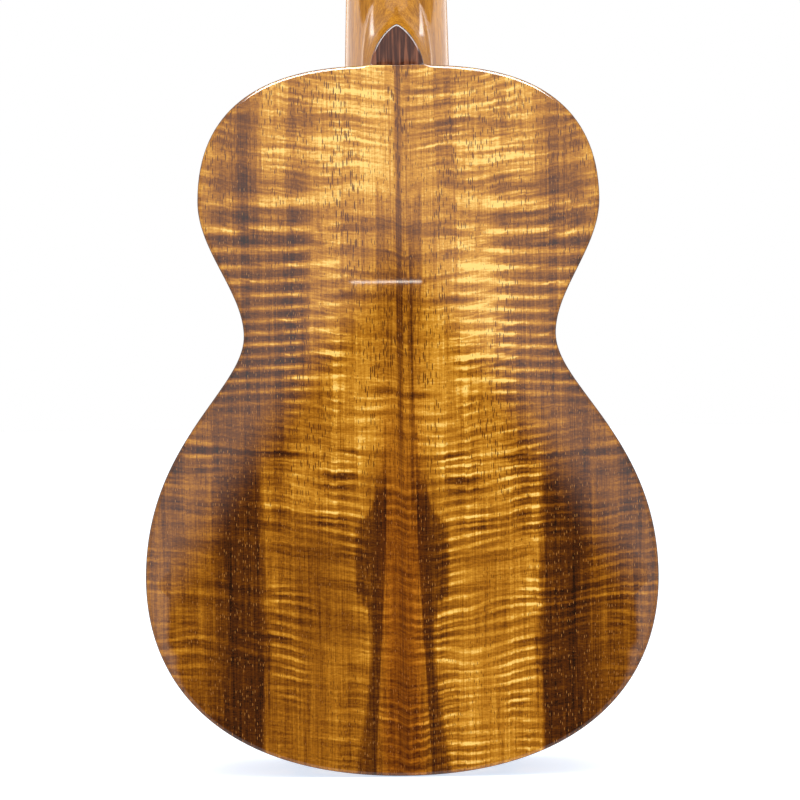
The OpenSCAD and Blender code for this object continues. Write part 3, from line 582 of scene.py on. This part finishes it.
def plain_wood(name, dark, light, shine, scale=1.0, stripes=0.0, axis=2, finish=True, **coat):
    """Straight-grained wood, its grain along an axis of the instrument."""
    t = Tree(name)
    pos = t.node("SeparateXYZ", t.node("TexCoord").outputs["Object"]).outputs
    c = [t.mul(pos[k], 1 / MM) for k in range(3)]
    stretch = [0.06 * scale if k == axis else 1.2 * scale for k in range(3)]
    fibre = t.noise(t.vector(*[t.mul(v, s) for v, s in zip(c, stretch)]), 4, 0.62, 0.2)
    slow = t.noise(t.vector(*[t.mul(v, s * 0.22) for v, s in zip(c, stretch)]), 3, 0.55, 0.4)
    tone = t.add(t.mul(fibre, 0.5), t.mul(slow, 0.5))
    if stripes:
        tone = t.add(tone, t.mul(t.sub(t.smooth(slow, 0.42, 0.6), 0.5), stripes))
    colour = t.mix(t.smooth(tone, 0.32, 0.68), linear(*dark), linear(*light))
    pores = t.smooth(t.noise(t.vector(*[t.mul(v, s * 2.2) for v, s in zip(c, stretch)]), 1), 0.64, 0.72)
    colour = t.mix(t.mul(pores, 0.55), colour, linear(*[v * 0.45 for v in dark]))
    if finish:
        return gloss(t, colour, pores, **coat)
    return t.finish(Base_Color=colour, Roughness=shine, Normal=t.bump(t.sub(fibre, pores), 0.25, 0.0002))


def metal(name, colour, roughness):
    t = Tree(name)
    obj = t.node("TexCoord").outputs["Object"]
    smear = t.noise(obj, 3, 0.6, scale=180.0)
    fine = t.noise(obj, 2, 0.5, scale=1400.0)
    worn = linear(*[v * 0.86 for v in colour])
    return t.finish(Base_Color=t.mix(t.smooth(smear, 0.35, 0.75), linear(*colour), worn), Metallic=1.0,
                    Roughness=t.smooth(smear, 0.3, 0.7, roughness, roughness + 0.14),
                    Normal=t.bump(fine, 0.05, 0.00005))


def pale(name, light, dark, roughness, scale, **values):
    """Bone, pearl or nylon: a pale body with a soft cloud in it."""
    t = Tree(name)
    obj = t.node("TexCoord").outputs["Object"]
    cloud = t.noise(obj, 4, 0.6, 1.2, scale)
    return t.finish(Base_Color=t.mix(t.smooth(cloud, 0.35, 0.68), linear(*light), linear(*dark)),
                    Roughness=roughness, **values)


def rosette_material():
    t = Tree("rosette_rings")
    pos = t.node("SeparateXYZ", t.node("TexCoord").outputs["Object"]).outputs
    away = t.sub(pos[2], SOUNDHOLE_Z * MM)
    r = t.mul(t.math("SQRT", t.add(t.mul(pos[0], pos[0]), t.mul(away, away))), 1 / MM)
    angle = t.math("ARCTAN2", pos[0], away)
    dash = t.smooth(t.math("SINE", t.mul(angle, 120)), -0.3, 0.3)
    ring = t.noise(t.vector(t.mul(angle, 9), 0.0, t.mul(r, 0.3)), 3)
    colour = t.mix(t.smooth(ring, 0.35, 0.65), linear(44, 22, 16), linear(92, 50, 34))
    dashed = t.mix(dash, linear(222, 196, 150), linear(60, 30, 20))
    colour = t.mix(band(t, r, 38.75, 0.75, 0.05), colour, dashed)
    for at in (36.3, 37.7, 39.8, 41.2):
        colour = t.mix(band(t, r, at, 0.18, 0.06), colour, linear(232, 212, 168))
    return gloss(t, colour)


SOUNDHOLE_Z = (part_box("rosette")[0].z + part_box("rosette")[1].z) / 2 / MM
SOUNDHOLE_R = 31.0
KOA_BACK = koa_back()
KOA_SIDE = koa_sheet("koa_side", "grain")
KOA_TOP = koa_sheet("koa_top", "object")
NECK_WOOD = plain_wood("neck_wood", (140, 86, 20), (196, 134, 40), 0.4, 1.3, Coat_Weight=0.45,
                       Coat_Roughness=0.12)
INNER_WOOD = plain_wood("inner_wood", (150, 104, 64), (196, 148, 100), 0.7, 0.9, finish=False)
SPRUCE = plain_wood("spruce", (196, 160, 108), (232, 204, 152), 0.65, 0.8, finish=False)
ROSEWOOD_GLOSS = plain_wood("rosewood_gloss", (62, 32, 22), (126, 76, 52), 0.3, 1.5, 0.2, Coat_Weight=0.6)
ROSEWOOD = plain_wood("rosewood", (34, 18, 14), (84, 46, 34), 0.42, 0.8, 0.4, finish=False)
BONE = pale("bone", (240, 230, 204), (222, 206, 170), 0.32, 220.0, Subsurface_Weight=0.15,
            Subsurface_Radius=(0.002, 0.0014, 0.001))
PEARL = pale("pearl", (232, 220, 198), (176, 164, 146), 0.2, 260.0, Coat_Weight=0.8, Coat_Roughness=0.05)
NYLON = pale("nylon", (236, 232, 222), (214, 208, 196), 0.25, 400.0, Transmission_Weight=0.25, IOR=1.5)
NICKEL = metal("nickel", (226, 224, 218), 0.16)
BRASS = metal("brass", (214, 168, 88), 0.22)
CARBON = pale("carbon", (34, 34, 38), (22, 22, 24), 0.45, 900.0)
ROSETTE = rosette_material()


# ---- Body ----
EDGE = 2.0


def body_edge(x, z):
    """The rounded edge of the plates, which runs out where the heel covers it."""
    if z < TAIL + 250 or abs(x) > 20:
        return EDGE - 0.1
    return 0.1 + (EDGE - 0.2) * min(1, max(0, (abs(x) - 12) / 3))


back = make("back", *plate(BODY_OUTLINE, body_edge, arch, lambda x, z: arch(x, z) + PLATE), KOA_BACK,
            slot="koa", replaces=("back_left", "back_right"))
make("soundboard", *plate(BODY_OUTLINE, lambda x, z: EDGE - 0.2, lambda x, z: 0.0, lambda x, z: -PLATE,
                          [circle(0, SOUNDHOLE_Z, SOUNDHOLE_R, 96)]), KOA_TOP,
     slot="koa", replaces=("soundboard_left", "soundboard_right"))


def side_band(points, rows=10):
    """The bent side along part of the outline, with its grain coordinates."""
    out = moved_in(BODY_OUTLINE, [0.0] * len(BODY_OUTLINE))
    within = moved_in(BODY_OUTLINE, [PLATE] * len(BODY_OUTLINE))
    rings, grain, run = [], [], 0.0
    for k, i in enumerate(points):
        if k:
            run += math.dist(out[i], out[points[k - 1]])
        ring = []
        for (x, z), order in ((out[i], range(rows + 1)), (within[i], range(rows, -1, -1))):
            low, top = arch(x, z) + PLATE, -PLATE
            ring += [(x, top + (low - top) * j / rows, z) for j in order]
        rings.append(ring)
        grain += [(p[1], 0, run) for p in ring]
    return loft(rings), grain


def mirrored(indices):
    """The outline's points opposite those given."""
    return [(len(BODY_OUTLINE) - i) % len(BODY_OUTLINE) for i in indices]


GRAFT = 6.0           # half the width of the wedge between the sides
HALF_OUTLINE = list(enumerate(BODY_OUTLINE))[:len(BODY_OUTLINE) // 2 + 1]
right = [i for i, (x, z) in HALF_OUTLINE if x >= GRAFT or z > JOIN - 20]
tail_right = [i for i, (x, z) in HALF_OUTLINE if x <= GRAFT + 1.2 and z < TAIL + 5]
for side, indices in (("right", right), ("left", mirrored(right))):
    mesh, grain = side_band(indices)
    make("side_" + side, *mesh, KOA_SIDE, slot="koa", replaces=("side_" + side,), attribute=grain)
graft_points = mirrored(reversed(tail_right)) + tail_right[1:]
make("tail_graft", *side_band(graft_points)[0], ROSEWOOD_GLOSS, slot="rosewood", replaces=("tail_graft",))

ring_outer, ring_inner = (circle(0, SOUNDHOLE_Z, r, 144) for r in (41.5, 36))
make("rosette", *plate(ring_outer, lambda x, z: 0.1, lambda x, z: 0.05, lambda x, z: -1.0, [ring_inner],
                       3.0, 2), ROSETTE, slot="rosewood", replaces=("rosette",))

# ---- Neck ----
CAP_T = 2.5
HEEL_DEPTH = DEPTH_HEEL - CAP_T
HEEL_HALF, HEEL_LENGTH = 11.5, 18.0
NECK_LENGTH = -JOIN


def half_width(z):
    return HALF_NUT + (HALF_JOIN - HALF_NUT) * z / JOIN


def ogive(s, length, power=1.6, root=0.7):
    """Half width of a pointed outline that is 1 wide at its foot."""
    return length - s if s >= length else (1 - (max(s, 0) / length) ** power) ** root


def neck_half(d, s):
    """Half width of neck and heel at a depth below the fretboard and a distance from the body."""
    h = 15 - 2 * s / NECK_LENGTH
    shaft = h - d if d >= h else half_width(JOIN + s) * (1 - (d / h) ** 2.3) ** (1 / 2.3)
    u = min(d / HEEL_DEPTH, 1)
    blade = (HEEL_HALF + 6 * (1 - u) ** 1.5) * ogive(s, HEEL_LENGTH + 75 * (1 - u) ** 3.5, 2 - 0.4 * u ** 4,
                                                      0.5 + 0.2 * u ** 4)
    fillet = max(8 - abs(shaft - blade), 0) / 8
    return max(shaft, blade) + fillet * fillet * 2


def reach(angle, s):
    """Distance to the neck's surface along a ray below the fretboard's underside."""
    low, high = 0.0, min(HEEL_DEPTH / max(math.sin(angle), 0.001), 90)
    for _ in range(22):
        r = (low + high) / 2
        if neck_half(r * math.sin(angle), s) > abs(r * math.cos(angle)):
            low = r
        else:
            high = r
    return low


def neck_ring(s, angles):
    radii = [half_width(JOIN + s) if a in (0, math.pi) else reach(a, s) for a in angles]
    return [(r * math.cos(a), -r * math.sin(a)) for r, a in zip(radii, angles)]


def neck_angles(n):
    """Angles from one edge of the fretboard to the other, closer together at the heel's flanks."""
    return [math.pi * (i / n - 0.055 * math.sin(4 * math.pi * i / n) / math.pi * 2) for i in range(n + 1)]


HEAD_FLOW = 17.0      # height over which the neck turns into the head
HEAD_CORNER = 2.0


def head_section(angles, zh):
    """Radii of the head's cross section along the same rays, in the head's frame."""
    w = head_half(zh)
    out = []
    for a in angles:
        c, s = abs(math.cos(a)), math.sin(a)
        r = min(w / max(c, 1e-6), HEAD_T / max(s, 1e-6))
        cx, cy, corner = w - HEAD_CORNER, HEAD_T - HEAD_CORNER, HEAD_CORNER
        if r * c > cx and r * s > cy:
            b, q = c * cx + s * cy, cx * cx + cy * cy - corner * corner
            r = b + math.sqrt(max(b * b - q, 0))
        out.append(r)
    return out


HEAD_RIGHT = [bezier(c, i / 40) for c in HEAD_CURVES for i in range(41)]


def head_half(zh):
    return float(np.interp(zh, [p[1] for p in HEAD_RIGHT], [p[0] for p in HEAD_RIGHT]))


def neck_mesh(sides=96, stations=110):
    angles = neck_angles(sides)
    rings = []
    for i in range(stations + 1):
        s = NECK_LENGTH * (i / stations) ** 1.8
        ring = neck_ring(s, angles)
        if i == 0:
            rings.append([(x, y, body_top(x) + 0.02) for x, y in ring])
        elif i < stations:
            rings.append([(x, y, max(JOIN + s, body_top(x) + 0.03)) for x, y in ring])
        else:
            rings.append([(x, y, NUT_T + y * math.tan(HEAD_TILT)) for x, y in ring])
    last = [math.hypot(x, y / math.cos(HEAD_TILT)) for x, y in ring]
    for k in range(1, 25):
        t = k / 24
        zh = HEAD_FLOW * t
        blend = t * t * (3 - 2 * t)
        target = head_section(angles, zh)
        ring = [((1 - blend) * a + blend * b) for a, b in zip(last, target)]
        rings.append([tuple(TO_HEAD @ Vector((r * math.cos(a), -r * math.sin(a) if 0 < i < sides else 0, zh)))
                      for i, (r, a) in enumerate(zip(ring, angles))])
    return loft(rings)


POSTS = {"g": (18.0, 35.0), "c": (15.5, 82.0), "e": (-15.5, 82.0), "a": (-18.0, 35.0)}
HEAD_T, OVERLAY_T = 12.0, 2.0
neck = make("neck", *neck_mesh(), NECK_WOOD, slot="neck_wood", replaces=("neck",), sharp=50)
head_outline = outline_of([[(0, 0.3), (6, 0.3), (12, 0.3), (18.5, 0.3)], *HEAD_CURVES], 24)
head_outline = [p for i, p in enumerate(head_outline) if math.dist(p, head_outline[i - 1]) > 0.05]
post_holes = [circle(x, z, 4.0, 32) for x, z in POSTS.values()]


def head_edge(most):
    """A rounded edge that starts above the head's square foot."""
    return lambda x, z: 0.1 + (most - 0.1) * min(1, max(0, (z - 2) / 6))


make("headstock", *plate(head_outline, head_edge(2.0), lambda x, z: -HEAD_T, lambda x, z: 0.0, post_holes,
                         5.0), NECK_WOOD, slot="neck_wood", replaces=("headstock",),
     matrix=TO_HEAD, above=HEAD_FLOW)
make("head_overlay", *plate(head_outline, head_edge(0.7), lambda x, z: OVERLAY_T, lambda x, z: 0.0,
                            post_holes, 5.0, 4), KOA_TOP, slot="koa", replaces=("head_overlay",),
     matrix=TO_HEAD)

cap_right = even([(HEEL_HALF * ogive(min(s, HEEL_LENGTH - 1e-6), HEEL_LENGTH), JOIN + s)
                  for s in (HEEL_LENGTH * math.sin(math.pi / 2 * i / 200) for i in range(201))], 0.7)
cap_base = [(x, body_top(x) + 0.02) for x in np.linspace(-HEEL_HALF, HEEL_HALF, 31).tolist()]
cap_outline = cap_base[1:-1] + cap_right + [(-x, z) for x, z in reversed(cap_right[:-1])]
heel_cap = make("heel_cap", *plate(cap_outline, lambda x, z: 1.5 if z > JOIN + 0.4 else 0.08,
                                   lambda x, z: -DEPTH_HEEL, lambda x, z: -HEEL_DEPTH, (), 2.0),
                ROSEWOOD_GLOSS, slot="rosewood", replaces=("heel_cap",))

# ---- Fretboard ----
BOARD_T = 5.5
SCALE = 432.0
BOARD_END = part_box("fretboard")[0].z / MM
FRETS, DOT_FRETS, DOUBLE_DOT = 18, (5, 7, 10, 12, 15), 12
FACE_DOT_R, SIDE_DOT_R = 3.0, 1.0


def fret_at(n):
    return SCALE * (1 - 2 ** (-n / 12))


board_right = [(half_width(BOARD_END) * k / 12, BOARD_END) for k in range(12)] + \
    [(half_width(z), z) for z in np.linspace(BOARD_END, 0, 60)]
board_outline = board_right + [(HALF_NUT * k / 12, 0) for k in range(11, -1, -1)]
board_outline += [(-x, z) for x, z in reversed(board_outline[1:-1])]
make("fretboard", *plate(board_outline, lambda x, z: 0.5, lambda x, z: BOARD_T, lambda x, z: 0.0, (), 8.0, 3),
     ROSEWOOD, slot="rosewood", replaces=("fretboard",))


def fret(n):
    """One fret: a domed crown whose ends are filed to a slope."""
    w, z0 = half_width(-fret_at(n)) - 0.15, -fret_at(n)
    rings = []
    for x, rise in ((-w, 0.12), (-w + 0.35, 0.6), (-w + 0.8, 0.92), (-w + 1.4, 1),
                    (w - 1.4, 1), (w - 0.8, 0.92), (w - 0.35, 0.6), (w, 0.12)):
        rings.append([(x, BOARD_T + rise * math.sin(a), z0 + math.cos(a) * (0.7 + 0.3 * rise))
                      for a in (math.pi * j / 12 for j in range(13))]
                     + [(x, BOARD_T - 0.3, z0 - 0.9), (x, BOARD_T - 0.3, z0 + 0.9)])
    return loft(rings)


make("frets", *joined([fret(n) for n in range(1, FRETS + 1)]), NICKEL, slot="nickel", replaces=("frets",),
     sharp=40)


def disc(centre, axis, r, low, high, n=40):
    """A disc with a slightly domed face, its axis along x or y."""
    rings = []
    for radius, at in ((r, low), (r, high - 0.04), (r - 0.06, high), (r * 0.4, high + 0.015)):
        ring = []
        for i in range(n):
            a = 2 * math.pi * i / n
            u, v = radius * math.cos(a), radius * math.sin(a)
            x, y = (centre[0] + u, at) if axis == "y" else (at, centre[1] + u)
            ring.append((x, y, centre[2] + v))
        rings.append(ring)
    return loft(rings)


dots = []
for n in DOT_FRETS:
    z = -(fret_at(n) + fret_at(n - 1)) / 2
    xs = (-9, 9) if n == DOUBLE_DOT else (0,)
    dots += [disc((x, 0, z), "y", FACE_DOT_R, BOARD_T - 0.9, BOARD_T + 0.03) for x in xs]
    dots += [disc((0, BOARD_T / 2, z + (k - (len(xs) - 1) / 2) * 4), "x", SIDE_DOT_R,
                  half_width(z) - 1.2, half_width(z) + 0.02, 20) for k in range(len(xs))]
make("inlay_dots", *joined(dots), PEARL, slot="pearl", replaces=("inlay_dots",))

# ---- Strings: their routes as in the CAD source ----
DIAMETER = {"g": 0.62, "c": 0.90, "e": 0.76, "a": 0.58}
ACTION_NUT, ACTION_SADDLE, SADDLE_Z = BOARD_T + 1.5, BOARD_T + 5.5, -434.0
POST_R, WINDING_Y, GAP = 3.0, 4.3, 0.02
BRIDGE_FRONT = SADDLE_Z + 6.5
TIE = (BRIDGE_FRONT - 23, BRIDGE_FRONT - 14.5)
TIE_TOP, TIE_HOLE = 7.0, 3.9
SADDLE_SPAN, NUT_SPAN = 42, 28.5      # from the first string to the last
for i, (name, (px, pz)) in enumerate(POSTS.items()):
    d = DIAMETER[name]
    r = d / 2
    xs, xn = SADDLE_SPAN * (0.5 - i / 3), NUT_SPAN * (0.5 - i / 3)
    side = 1 if px > 0 else -1
    turn = POST_R + GAP + r
    off = r + 0.1
    lead = math.sqrt(2 * turn * (d + 0.06))      # where the string's end clears the coils it runs onto
    tie = [(xs + 1.6, TIE_TOP + off, TIE[0] + 5), (xs + 1.5, TIE_TOP + off, TIE[0]),
           (xs + 1.3, TIE_TOP + 0.7 * off, TIE[0] - 0.7 * off), (xs + 1.1, TIE_TOP, TIE[0] - off),
           (xs + 0.5, TIE_HOLE + 1.3, TIE[0] - off - 0.4), (xs + 0.1, TIE_HOLE + 0.2, TIE[0] - off),
           (xs, TIE_HOLE, TIE[0] + 1)]
    path = smooth_path(tie, 5) + [Vector(p) for p in (
        (xs, TIE_HOLE, TIE[1] - 0.5), (xs, TIE_HOLE + 0.5, TIE[1] + 0.7),
        (xs, ACTION_SADDLE + off - 0.35, SADDLE_Z - 1.5), (xs, ACTION_SADDLE + off, SADDLE_Z),
        (xn, ACTION_NUT + r + GAP, 0), (xn, ACTION_NUT + r + GAP, 0.5))]
    path.append(TO_HEAD @ Vector((px - side * turn, WINDING_Y + r, pz - lead)))
    make("string_" + name, *tube(path, r, 14), NYLON, slot="string", replaces=("string_" + name,), sharp=60)

# ---- Windings and buttons ----
def at_post(x, z):
    """The frame of one tuning machine, mirrored on the left."""
    flip = Matrix.Scale(-1, 4, (1, 0, 0)) if x < 0 else Matrix.Identity(4)
    return TO_HEAD @ Matrix.Translation((x, 0, z)) @ flip


TEETH, WORM_PITCH, WORM_R = 14, 2, 1.8     # a wheel's teeth, and its worm's pitch and pitch radius
WORM_Y, WORM_Z = -15.35, -(TEETH * WORM_PITCH / (2 * math.pi) + WORM_R)
BUTTON_START, BUTTON_LENGTH = 37.5, 12.35  # distance out from the head's middle line, and length
COILS, COIL_STEPS, COIL_GAP = 3, 32, 0.04  # turns of string, points to a turn, room between turns
POST_HOLE_Y = 8.4                          # of the hole that the string's end goes through


def button(start):
    """A rounded button on its shaft: wide across its middle, narrow where it meets the shaft."""
    rings = []
    for k in range(29):
        t = k / 28
        swell = math.sin(math.pi * min(1, 0.16 + 0.84 * t) ** 0.8)
        hz = 3.1 * (1 - t) ** 2 + 5.9 * swell ** 0.55 * (1 - (1 - t) ** 3) if t < 1 else 0.3
        hy = 2.9 * (1 - t) ** 2 + 3.3 * swell ** 0.45 * (1 - (1 - t) ** 3) if t < 1 else 0.2
        x = start + BUTTON_LENGTH * (1 - (1 - t) ** 1.35)
        ring = []
        for j in range(32):
            a = 2 * math.pi * j / 32
            c, s = math.cos(a), math.sin(a)
            ring.append((x, WORM_Y + hy * math.copysign(abs(s) ** 0.85, s),
                         WORM_Z + hz * math.copysign(abs(c) ** 0.85, c)))
        rings.append(ring)
    return loft(rings)


for name, (px, pz) in POSTS.items():
    frame_at = at_post(px, pz)
    make("tuner_button_" + name, *button(BUTTON_START - abs(px)), PEARL, "button_" + name, "pearl",
         ("tuner_button_" + name,), frame_at, 50)
    d = DIAMETER[name]
    turn = POST_R + GAP + d / 2
    helix = []
    for k in range(COILS * COIL_STEPS + 1):
        a = 2 * math.pi * k / COIL_STEPS + math.pi
        helix.append(Vector((turn * math.cos(a), WINDING_Y + d / 2 + k / COIL_STEPS * (d + COIL_GAP),
                             turn * math.sin(a))))
    stub = [Vector((x, POST_HOLE_Y, 0)) for x in (-POST_R - 0.6, 0, POST_R + 2.5)]
    make("winding_" + name, *joined([tube(helix, d / 2, 12), tube(stub, d / 2, 12)]), NYLON, "post_" + name,
         "string", ("winding_" + name,), frame_at, 60)


# ---- CAD nodes that are kept, with softened edges and their materials ----
def keep(node, material, bevel=0.0, sharp=35):
    """Gives a CAD node its material, smooth shading and, where bevel is over 0, rounded edges."""
    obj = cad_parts[node]
    obj.data.materials.clear()
    obj.data.materials.append(material)
    weld = obj.modifiers.new("weld", "WELD")
    weld.merge_threshold = 2e-6
    if bevel:
        flat = obj.modifiers.new("flat", "DECIMATE")
        flat.decimate_type, flat.angle_limit = "DISSOLVE", math.radians(0.5)
        edge = obj.modifiers.new("edge", "BEVEL")
        edge.width, edge.segments, edge.limit_method = bevel * MM, 2, "ANGLE"
        edge.angle_limit, edge.use_clamp_overlap = math.radians(sharp), True
        edge.harden_normals = False
    obj.data.shade_smooth()
    obj.data.set_sharp_from_angle(angle=math.radians(sharp))


for node, material, bevel in (
    ("neck_block", INNER_WOOD, 0), ("tail_block", INNER_WOOD, 0), ("top_linings", INNER_WOOD, 0),
    ("back_linings", INNER_WOOD, 0), ("soundboard_braces", SPRUCE, 0), ("back_braces", SPRUCE, 0),
    ("bridge_plate", SPRUCE, 0), ("back_seam_strip", SPRUCE, 0), ("neck_rod", CARBON, 0),
    ("neck_bolt", NICKEL, 0), ("neck_insert", BRASS, 0), ("nut", BONE, 0.2), ("saddle", BONE, 0.2),
    ("bridge", ROSEWOOD, 0.5), ("tuner_plates", NICKEL, 0.15), ("tuner_bushings", NICKEL, 0.15),
    ("plate_screws", NICKEL, 0.08),
):
    keep(node, material, bevel)
for name in POSTS:
    keep("worm_shaft_" + name, NICKEL)
    keep("string_post_" + name, NICKEL, 0.15)
    keep("worm_wheel_" + name, BRASS, 0.12)
    keep("wheel_screw_" + name, NICKEL, 0.12)


# ---- Floor, backdrop, lights and camera ----
def card(name, width, height, centre, facing, material):
    """A flat sheet that faces a point."""
    mesh = bpy.data.meshes.new(name)
    w, h = width / 2, height / 2
    mesh.from_pydata([(-w, -h, 0), (w, -h, 0), (w, h, 0), (-w, h, 0)], [], [(0, 1, 2, 3)])
    mesh.materials.append(material)
    obj = bpy.data.objects.new(name, mesh)
    obj.location = centre
    obj.rotation_mode = "QUATERNION"
    obj.rotation_quaternion = (Vector(facing) - Vector(centre)).to_track_quat("Z", "Y")
    bpy.context.scene.collection.objects.link(obj)
    return obj


def area(name, width, height, centre, target, power):
    """A rectangular light that faces a point and isn't seen itself."""
    light = bpy.data.lights.new(name, "AREA")
    light.shape, light.size, light.size_y, light.energy = "RECTANGLE", width, height, power
    obj = bpy.data.objects.new(name, light)
    obj.location = centre
    obj.rotation_mode = "QUATERNION"
    obj.rotation_quaternion = (Vector(target) - Vector(centre)).to_track_quat("-Z", "Y")
    obj.visible_camera = False
    bpy.context.scene.collection.objects.link(obj)
    return obj


def paper():
    """The floor, warm in colour, with a faint bluish glow of its own that keeps its shadow pale."""
    t = Tree("white_paper")
    cloud = t.noise(t.node("TexCoord").outputs["Object"], 3, 0.5, 0, 3.0)
    return t.finish(Base_Color=t.mix(cloud, linear(225, 212, 199), linear(220, 207, 194)), Roughness=0.9,
                    Emission_Color=(0.5, 0.65, 0.8, 1), Emission_Strength=1.0)


def veil():
    """The pale room that the finish mirrors, with a dim cone below where the lower body looks."""
    t = Tree("room_card")
    pos = t.node("SeparateXYZ", t.node("TexCoord").outputs["Object"]).outputs
    across = t.math("SQRT", t.add(t.mul(pos[0], pos[0]), 0.0009))
    edge = t.add(pos[1], t.mul(across, 1.54))
    return t.finish(Base_Color=(0, 0, 0, 1), Specular_IOR_Level=0.0, Emission_Color=(0.97, 0.97, 1.0, 1),
                    Emission_Strength=t.smooth(edge, 0.25, 0.38, 0.05, 1.45))


def glow(strength):
    """A bright strip that is seen only in reflections."""
    t = Tree("light_strip")
    return t.finish(Base_Color=(0, 0, 0, 1), Specular_IOR_Level=0.0, Emission_Color=(1.0, 0.95, 0.86, 1),
                    Emission_Strength=strength)


def sheen(name, width, height, centre, radiance, pieces):
    """A light that only shows as a reflection in the finish of some pieces."""
    centre = Vector(centre)
    light = area(name, width, height, centre, middle, radiance * math.pi * width * height)
    light.visible_diffuse = False
    light.light_linking.receiver_collection = bpy.data.collections.new(name)
    for piece in pieces:
        light.light_linking.receiver_collection.objects.link(piece)


AIM = TAIL * MM + 0.161                # height of the camera, which looks level, in metres
ROOM_Y = -1.6                          # where the mirrored room stands
middle = Vector((0, -0.035, AIM))
ground = card("floor", 30, 30, (0, 0, TAIL * MM - 0.0003), (0, 0, 5), paper())
ground.visible_glossy = False
room = card("room_card", 1.6, 2.2, (0, ROOM_Y, middle.z), (0, 5, middle.z), veil())
room.visible_camera = room.visible_diffuse = room.visible_shadow = False
strip = card("light_strip", 0.088, 0.002, (-0.016, ROOM_Y + 0.01, middle.z + 0.233), (0, 5, middle.z),
             glow(20))
strip.visible_camera = strip.visible_diffuse = False
world = bpy.data.worlds.new("pale")
bpy.context.scene.world = world
world.use_nodes = True
world.node_tree.nodes["Background"].inputs[0].default_value = (1.0, 1.0, 1.0, 1)
world.node_tree.nodes["Background"].inputs[1].default_value = 1.0
area("overhead", 2.2, 1.4, (0, -0.5, middle.z + 1.5), middle, 16)
for piece, width in ((back, 1.5), (heel_cap, 4.0)):
    sheen("overhead_sheen", width, 1.1, (0, -0.45, middle.z + 1.3), 22, [piece])
for hand in (-1, 1):
    sheen("neck_sheen", 1.1, 0.6, (hand * 0.7, 0.25, JOIN * MM + 0.05), 7, [neck])

BACK_PLANE = -0.068
DISTANCE, SEEN, SENSOR = 1.25, 0.3432, 36      # metres to the back, metres across the picture there, mm
camera = bpy.data.objects.new("camera", bpy.data.cameras.new("camera"))
camera.data.sensor_width = SENSOR
camera.data.lens = SENSOR * DISTANCE / SEEN
camera.location = (-0.0002, BACK_PLANE - DISTANCE, AIM)
camera.rotation_euler = (math.pi / 2, math.radians(0.6), 0)
bpy.context.scene.collection.objects.link(camera)
bpy.context.scene.camera = camera
bpy.context.scene.view_settings.view_transform = "Standard"
